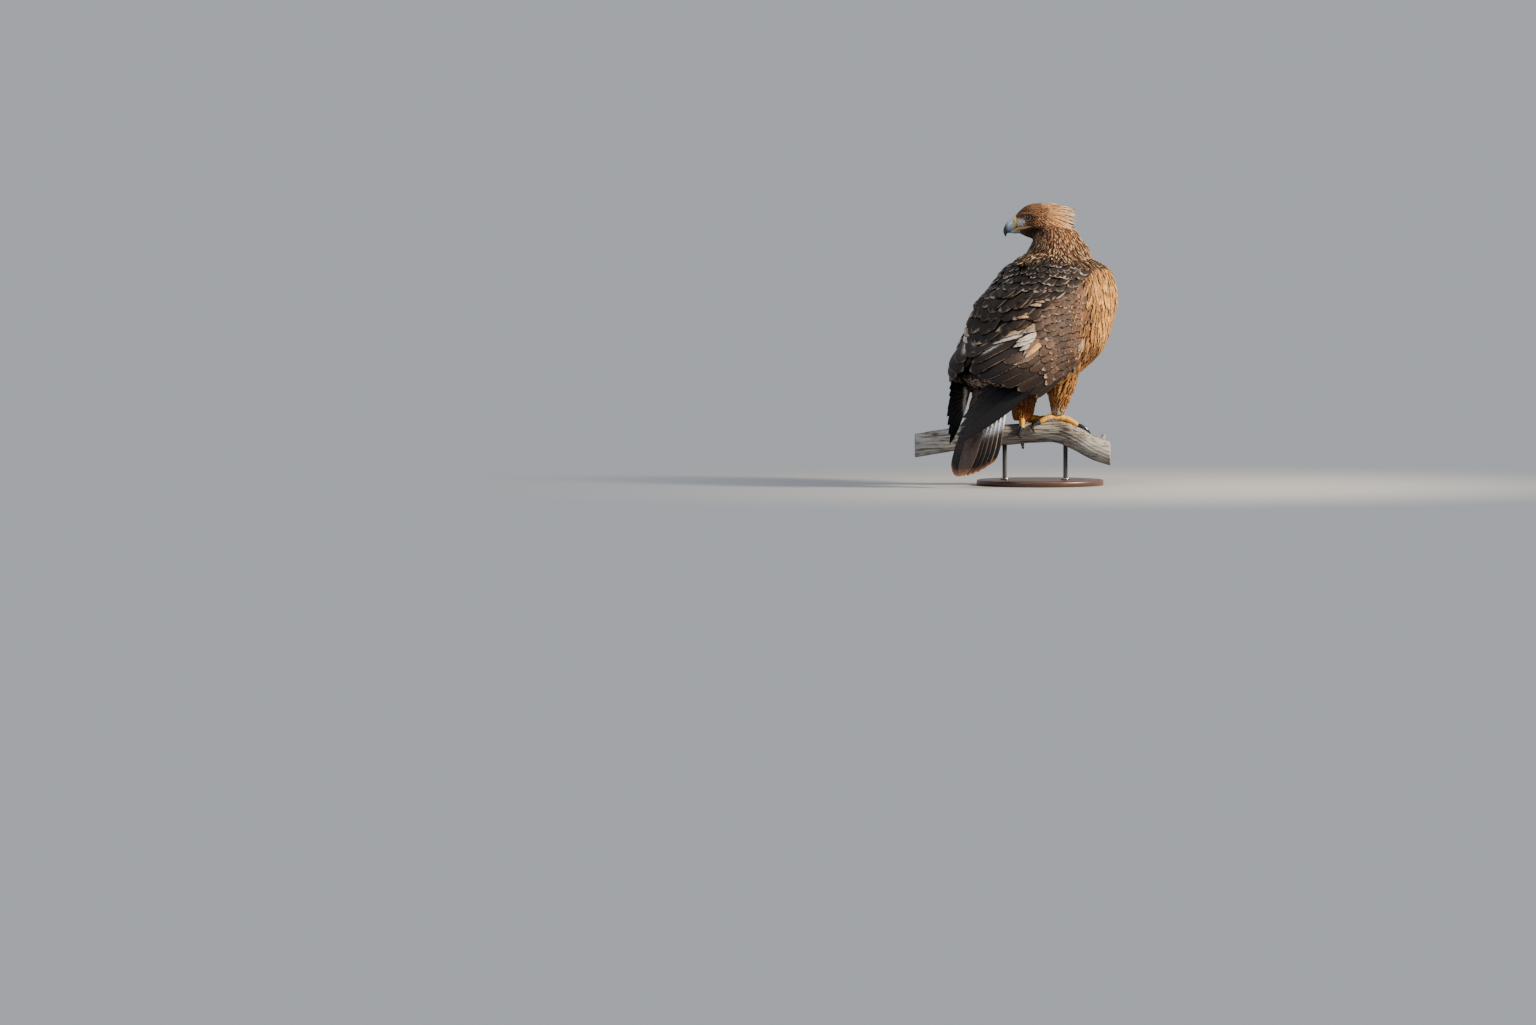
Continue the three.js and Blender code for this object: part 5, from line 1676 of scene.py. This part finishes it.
def build_eye(side, material, lid_material):
    forward, left, height = EYE_PLACE
    centre = in_head(forward, side * (left - EYE_SUNK), height)
    axis = unit(side * HEAD_LEFT + 0.28 * FORWARD)
    name = SIDE_NAMES[side]
    mesh = sphere_mesh(f"eye_{name}_ball", centre, EYE_RADIUS, axis, 28, 36)
    cosine = (mesh_points(mesh) - centre) @ axis / EYE_RADIUS
    angle = np.degrees(np.arccos(np.clip(cosine, -1, 1)))
    colour = tint(PUPIL, IRIS, smooth(27, 30, angle))
    paint(mesh, "Base", tint(colour, IRIS_RIM, smooth(42, 50, angle)))
    wear(link(mesh.name, mesh), material, "eye", f"eye_{name}")
    build_eyelid(name, centre, axis, lid_material)


def build_eyelid(name, centre, axis, material):
    """A closed pale rim round the eye, dark where it meets the ball."""
    tilt = unit(np.cross(axis, UP))
    over = np.cross(tilt, axis)
    rings = []
    for a in np.linspace(0, 2 * math.pi, LID_COUNT, endpoint=False):
        spoke = tilt * math.cos(a) + over * math.sin(a)
        middle = centre + axis * (EYE_RADIUS * 0.55) + spoke * (EYE_RADIUS * 0.83 + LID_HALF)
        lean = unit(spoke - axis * 0.35)
        rings.append(ring(middle - axis * 0.5, lean, axis, LID_HALF, 0.8, LID_SIDES))
    quads = ring_quads(LID_COUNT, LID_SIDES) % (LID_COUNT * LID_SIDES)
    mesh = mesh_from(f"eyelid_{name}", rings, quads)
    outward = np.cos(np.arange(LID_SIDES) / LID_SIDES * 2 * math.pi)
    tone = tint(LID_PALE, RUST_DARK, smooth(-0.95, -0.6, outward))
    paint(mesh, "Base", np.tile(tone, (LID_COUNT, 1)))
    wear(link(mesh.name, mesh), material, "bill")


# Feet: place on the branch, then each toe's end and its claw's middle and point, as place and degrees.
FEET = {
    "right": (47, {"inner": ((60, 78), (64, 104), (66, 122)), "middle": ((88, 62), (100, 84), (104, 106)),
                   "outer": ((98, 14), (118, 14), (134, 22)), "hallux": ((-2, -42), (-20, -62), (-12, -98))}),
    "left": (-47, {"inner": ((2, 16), (20, 22), (32, 34)), "middle": ((-4, 66), (8, 90), (12, 108)),
                   "outer": ((-46, 74), (-48, 98), (-50, 116)),
                   "hallux": ((-48, -66), (-56, -92), (-48, -116))}),
}
TOE_RINGS = 131
TOE_JOINTS = 3
TOE_SCUTES = 13


def on_perch(place, degrees, off):
    """A point off the branch's surface, by place along it and degrees from its top."""
    height, radius = perch_at(place)
    angle = math.radians(degrees)
    reach = radius + off
    return ALONG * place + UP * (height + math.cos(angle) * reach) + ACROSS * math.sin(angle) * reach


def toe_points(at, end):
    return [on_perch(at, 0, 9), on_perch(lerp(at, end[0], 0.5), end[1] * 0.5, 10.5), on_perch(*end, 7)]


def toe_mesh(name, at, end):
    """A toe with plate-like scutes over its top and soft pads beneath."""
    t = np.linspace(0, 1, TOE_RINGS)
    radii = np.interp(t, (0, 0.33, 0.66, 1), (8.8, 7.6, 7.0, 5.6))
    radii = radii * (1 + 0.09 * np.sin(t * math.pi * TOE_JOINTS) ** 2)
    rings = tube_rings(toe_points(at, end), radii, 28)
    away = unit(rings - rings.mean(1, keepdims=True))
    top = np.clip(away[..., 2], 0, 1)
    plate = np.abs(np.sin(t * math.pi * TOE_SCUTES))[:, None] ** 0.5
    rings = rings + away * (top * (plate - 0.6) * 1.4)[..., None]
    mesh = loft_mesh(name, rings)
    # Painted shade in the furrows between the scutes over the toe's top.
    crease_shade = (smooth(-0.1, 0.5, away[..., 2]) * smooth(0.75, 0.2, plate)).reshape(-1)
    paint(mesh, "Base", tint(FOOT_YELLOW, FOOT_CREASE_SHADE, np.append(crease_shade, (0, 0)) * 0.9))
    return mesh


def build_feet(material, claw_material):
    for side, (at, toes) in FEET.items():
        meshes = [toe_mesh(f"toe_{side}_{toe}", at, end) for toe, (end, *_) in toes.items()]
        pad = sphere_mesh(f"pad_{side}", on_perch(at, 0, 12), 17, UP, 20, 28)
        paint(pad, "Base", FOOT_YELLOW)
        foot = join([link(mesh.name, mesh) for mesh in (*meshes, pad)])
        foot.name = foot.data.name = f"foot_{side}_skin"
        wear(foot, material, "feet", f"foot_{side}")
        for toe, marks in toes.items():
            build_claw(f"claw_{side}_{toe}", at, *marks, claw_material)


def build_claw(name, at, end, middle, point, material):
    """A curved claw from the toe's end to a point on the branch."""
    path = toe_points(at, end)
    curve = spline(path, 40)
    root = path[-1] - unit(curve[-1] - curve[-2]) * 3
    tip = on_perch(*point, 1.6)
    pull = on_perch(*middle, 9) * 2 - (root + tip) / 2
    s = np.linspace(0, 1, 9)[:, None]
    points = list(root * (1 - s) ** 2 + pull * 2 * s * (1 - s) + tip * s ** 2)
    radii = np.interp(np.linspace(0, 1, 36), (0, 0.2, 0.5, 0.8, 1), (5.0, 5.4, 4.4, 2.4, 0.4))
    radii = radii * (1.15 if "hallux" in name else 1)
    mesh = loft_mesh(f"{name}_horn", tube_rings(points, radii, 20))
    paint(mesh, "Base", CLAW_BLACK)
    wear(link(mesh.name, mesh), material, "claws", name)


# The branch and its stand.
HIGH_END, LOW_END = -325, 182
BRANCH_RINGS = 260
BRANCH_SIDES = 96
# The knot's place along the branch and its angle.
KNOT = (70, 2.5)
SPLIT_ANGLE = 0.9
# The bark's own colour comes from its material.
NO_COLOUR = (0, 0, 0)
# Stubs of twigs: root and end on the branch, then radii.
TWIGS = [
    ((-47, 175, -8), (-44, 175, 14), (6.0, 5.2, 4.4, 3.4, 3.0)),
    ((160, 8, -10), (166, 10, 15), (8.0, 7.2, 6.4, 5.6, 4.8)),
]


def angle_from(angle, other):
    """The way round from one angle to others, between minus and plus half a turn."""
    return np.angle(np.exp(1j * (angle - other)))


def cut_face(name, place, way):
    """A cut end of the branch with its growth rings and a split darkened by painted shade."""
    height, radius = perch_at(place)
    axes = (ACROSS, UP) if way > 0 else (UP, ACROSS)
    radii = np.linspace(radius * 0.92, 0.3, 60)
    middle = ALONG * (place + way * 0.6) + UP * height
    rings = [ring(middle - ALONG * way * 3, *axes, radii[0], radii[0], BRANCH_SIDES)]
    rings += [ring(middle, *axes, r, r, BRANCH_SIDES) for r in radii]
    mesh = loft_mesh(name, rings)
    local = mesh_points(mesh) - middle
    away = np.linalg.norm(local, axis=1)
    angle = np.arctan2(local[:, 2], local @ ACROSS)
    growth = 0.5 + 0.5 * np.sin(away * 2.6 + 0.8 * np.sin(angle * 3 + 1) + 0.5 * np.sin(angle * 5))
    split = smooth(0.1, 0.03, np.abs(angle_from(angle, SPLIT_ANGLE))) * smooth(2, 8, away)
    # The split is painted dark as shade in its gap.
    paint(mesh, "Base", tint(tint(CUT_PALE, CUT_DARK, growth * 0.8), CRACK_SHADE, split * 0.9))
    return link(name, mesh)


def branch_ring(place):
    """One ring of the branch, with its grooves, lumps and a knot."""
    angle = np.arange(BRANCH_SIDES) / BRANCH_SIDES * 2 * math.pi
    height, radius = perch_at(place)
    grooves = 0.5 * np.sin(angle * 19 + 2.2 * np.sin(place / 37)) + 0.35 * np.sin(angle * 31 - place / 29)
    lumps = 1.1 * np.sin(angle * 3 + place / 60) + 0.9 * np.sin(angle * 2 - place / 43 + 1)
    knot = 4.2 * np.exp(-(((place - KNOT[0]) / 16) ** 2 + (angle_from(angle, KNOT[1]) / 0.45) ** 2))
    rim = 1 - 0.05 * (place in (HIGH_END, LOW_END))
    reach = (radius + grooves + lumps - 0.6 + knot) * rim
    across = np.cos(angle)[:, None] * ACROSS * reach[:, None]
    over = np.sin(angle)[:, None] * UP * reach[:, None]
    return ALONG * place + UP * height + across + over


def build_perch(material):
    rings = [branch_ring(place) for place in np.linspace(HIGH_END, LOW_END, BRANCH_RINGS)]
    branch = link("branch", loft_mesh("branch", rings))
    paint(branch.data, "Base", NO_COLOUR)
    pieces = [branch, cut_face("cut_low", LOW_END, 1), cut_face("cut_high", HIGH_END, -1)]
    for i, (root, end, radii) in enumerate(TWIGS):
        radii = np.interp(np.linspace(0, 4, 16), range(5), radii)
        twig = loft_mesh(f"twig_{i}", tube_rings([on_perch(*root), on_perch(*end)], radii, 20))
        paint(twig, "Base", NO_COLOUR)
        pieces.append(link(f"twig_{i}", twig))
    wear(join(pieces), material, "perch_wood", "perch")


def lathe_mesh(name, centre, profile, sides):
    rings = [ring((*centre[:2], z), (1, 0, 0), (0, 1, 0), r, r, sides) for r, z in profile]
    return loft_mesh(name, rings)


def build_stand():
    """A turned disc with a groove near its edge, and two rods that stand in collars."""
    stained = streaked_material("stained_wood", (1, 0.06, 1), (120, 6, 0.6), (STAIN_DARK, STAIN_PALE),
                                (0.25, 0.0004), rough=0.42, coat=0.25, coat_rough=0.3)
    steel = streaked_material("brushed_steel", (1, 1, 0.03), (900, 4, 0.5), (STEEL_DARK, STEEL_PALE),
                              (0.2, 0.0002), rough=0.34, metal=1.0)
    edge = BASE_RADIUS
    top = BASE_HEIGHT
    rim = [(edge - 1.2, 0), (edge, 1.2), (edge, 9.5)]
    rim += [(edge - 3 + 3 * math.cos(a), 9.5 + 4.5 * math.sin(a)) for a in np.linspace(0.2, math.pi / 2, 8)]
    rim += [(edge - 9, top), (edge - 10, top - 0.8), (edge - 12, top - 0.8), (edge - 13, top)]
    rim += [(40, top), (0.5, top)]
    base = link("stand_disc", lathe_mesh("stand_disc", (0, 0), rim, 128))
    wear(base, stained, "stand_wood", "stand_base")
    for i, place in enumerate(ROD_PLACES, 1):
        height, radius = perch_at(place)
        collar = [(11, top), (11, top + 3.4), (10.2, top + 4.2), (ROD_RADIUS, top + 4.2)]
        profile = [*collar, (ROD_RADIUS, height - radius + 3)]
        rod = link(f"rod_{i}", lathe_mesh(f"rod_{i}", ALONG * place, profile, 48))
        wear(rod, steel, "stand_steel", f"stand_rod_{i}")


# Floor, light and camera.
SKY = (0.42, 0.44, 0.47)
FLOOR_GREY = (0.24, 0.25, 0.27)
FLOOR_REACH = 420.0
PIXEL = 2.6
PHOTO_WIDTH = 1536
PHOTO_CENTRE = (768.0, 512.5)
FLOOR_ROW = 485.0
ORIGIN_COLUMN = 1040.0
LENS = 300.0
SENSOR = 36
ELEVATION = math.radians(2.5)
AIM = (0, 0, 0.42)
# Lights: name, metres along and across the branch and up, size, watts, colour.
LIGHTS = [
    ("key", (3.0, -0.9, 2.0), 0.6, 460, (1.0, 0.83, 0.6)),
    ("fill", (-2.0, -2.6, 1.9), 1.8, 52, (0.84, 0.91, 1.0)),
    ("top", (0, -0.4, 3.2), 2.0, 44, (1, 0.98, 0.95)),
]


def build_stage():
    """A floor that fades into the grey of the sky."""
    mesh = bpy.data.meshes.new("floor")
    reach = FLOOR_REACH
    corners = [(-reach, -reach, 0), (reach, -reach, 0), (reach, reach, 0), (-reach, reach, 0)]
    mesh.from_pydata(corners, [], [(0, 1, 2, 3)])
    m = Shader("pale_floor")
    length = m.node("VectorMath", operation="LENGTH")
    m.feed(length.inputs[0], m.place())
    glow = m.node("Emission")
    m.feed(glow.inputs["Color"], SKY)
    m.feed(m.main.inputs["Base Color"], FLOOR_GREY)
    m.feed(m.main.inputs["Roughness"], 0.9)
    blend = m.node("MixShader")
    far = m.step(length.outputs["Value"], 0.35, 1.7)
    for slot, value in enumerate((far, m.main.outputs[0], glow.outputs[0])):
        m.feed(blend.inputs[slot], value)
    m.feed(m.tree.nodes["Material Output"].inputs["Surface"], blend.outputs[0])
    mesh.materials.append(m.material)
    link("floor", mesh)
    world = bpy.data.worlds.new("pale")
    world.use_nodes = True
    sky = world.node_tree.nodes["Background"].inputs
    sky["Color"].default_value = (*SKY, 1)
    sky["Strength"].default_value = 1.0
    bpy.context.scene.world = world


def place_in_scene(name, data, place, way):
    """Puts a light or a camera in the scene, looking along way."""
    piece = link(name, data)
    piece.location = place
    piece.rotation_euler = Vector(way).to_track_quat("-Z", "Y").to_euler()
    return piece


def build_light_and_camera():
    for name, (along, across, up), size, watts, colour in LIGHTS:
        light = bpy.data.lights.new(name, "AREA")
        light.size = size
        light.energy = watts
        light.color = colour
        place = Vector(ALONG * along + ACROSS * across + UP * up)
        place_in_scene(name, light, place, Vector(AIM) - place)
    lens = bpy.data.cameras.new("camera")
    lens.lens = LENS
    lens.sensor_width = SENSOR
    lens.clip_start = 0.5
    lens.clip_end = 1000
    scale = PIXEL * MM
    distance = PHOTO_WIDTH * scale * LENS / SENSOR
    back = -ACROSS * math.cos(ELEVATION) + UP * math.sin(ELEVATION)
    sideways = ALONG * (PHOTO_CENTRE[0] - ORIGIN_COLUMN) * scale
    upward = np.cross(back, ALONG) * (FLOOR_ROW - PHOTO_CENTRE[1]) * scale
    camera = place_in_scene("camera", lens, sideways + upward + back * distance, -back)
    bpy.context.scene.camera = camera


def dress(surface):
    """Lays the coats of feathers over the skin."""
    body = feather_material("body_feathers", 24, 0.65, 0.62, 0.8, 0.3)
    hackle = feather_material("hackle_feathers", 20, 0.6, 0.6, 0.64, 0.6)
    covert = feather_material("covert_feathers", 34, 0.6, 0.76, 0.85, 0.3, 0.2)
    flight = feather_material("quill_feathers", 90, 0.5, 0.9, 0.965, 0.1, 0.08)
    wear(body_coat("coat_breast_right", surface, lambda p: p[:, 0] <= 0), body, "plumage")
    wear(body_coat("coat_breast_left", surface, lambda p: p[:, 0] > 0), body, "plumage")
    wear(leg_coat(surface), body, "plumage")
    wear(neck_coat(surface), hackle, "hackles")
    face = head_coat("coat_face", surface, lambda forward: forward > FACE_FROM, FACE_GAP)
    wear(face.build(), hackle, "hackles")
    crown = head_coat("coat_crown", surface, lambda forward: forward <= FACE_FROM, CROWN_GAP)
    add_nape_hackles(crown)
    wear(crown.build(), hackle, "hackles")
    for side, name in SIDE_NAMES.items():
        wear(wing_coverts(f"coat_coverts_{name}", side, surface), covert, "flight_feathers")
        wear(wing_quills(f"coat_wing_{name}", side, surface), flight, "flight_feathers")
    wear(tail_coat(surface), flight, "flight_feathers")


def main():
    build_stage()
    build_light_and_camera()
    skin = build_skin()
    unwrap(skin)
    surface = Surface(skin)
    # The skin's colours at 0.55: painted shade deep under the feathers.
    paint(skin.data, "Base", skin_colours(mesh_points(skin.data)) * 0.55)
    wear(skin, painted_material("down", 0.9, 240, 0.001), "plumage",
         "torso", "neck", "head", "tail", "wing_left", "wing_right", "leg_left", "leg_right")
    dress(surface)
    build_bill(painted_material("horn", 0.3, 300, 0.0003, coat=0.3, contrast=0.12))
    eye = painted_material("eye", 0.12, 900, 0.00001, specular=0.3, coat=0.6, contrast=0.1)
    lid = painted_material("eyelid", 0.5, 900, 0.0004)
    for side in SIDE_NAMES:
        build_eye(side, eye, lid)
        build_gape(side, surface, lid)
    claw = painted_material("claw_horn", 0.22, 300, 0.0002, coat=0.4)
    build_feet(painted_material("scaly_skin", 0.55, 420, 0.0008), claw)
    build_perch(wood_material())
    build_stand()


main()
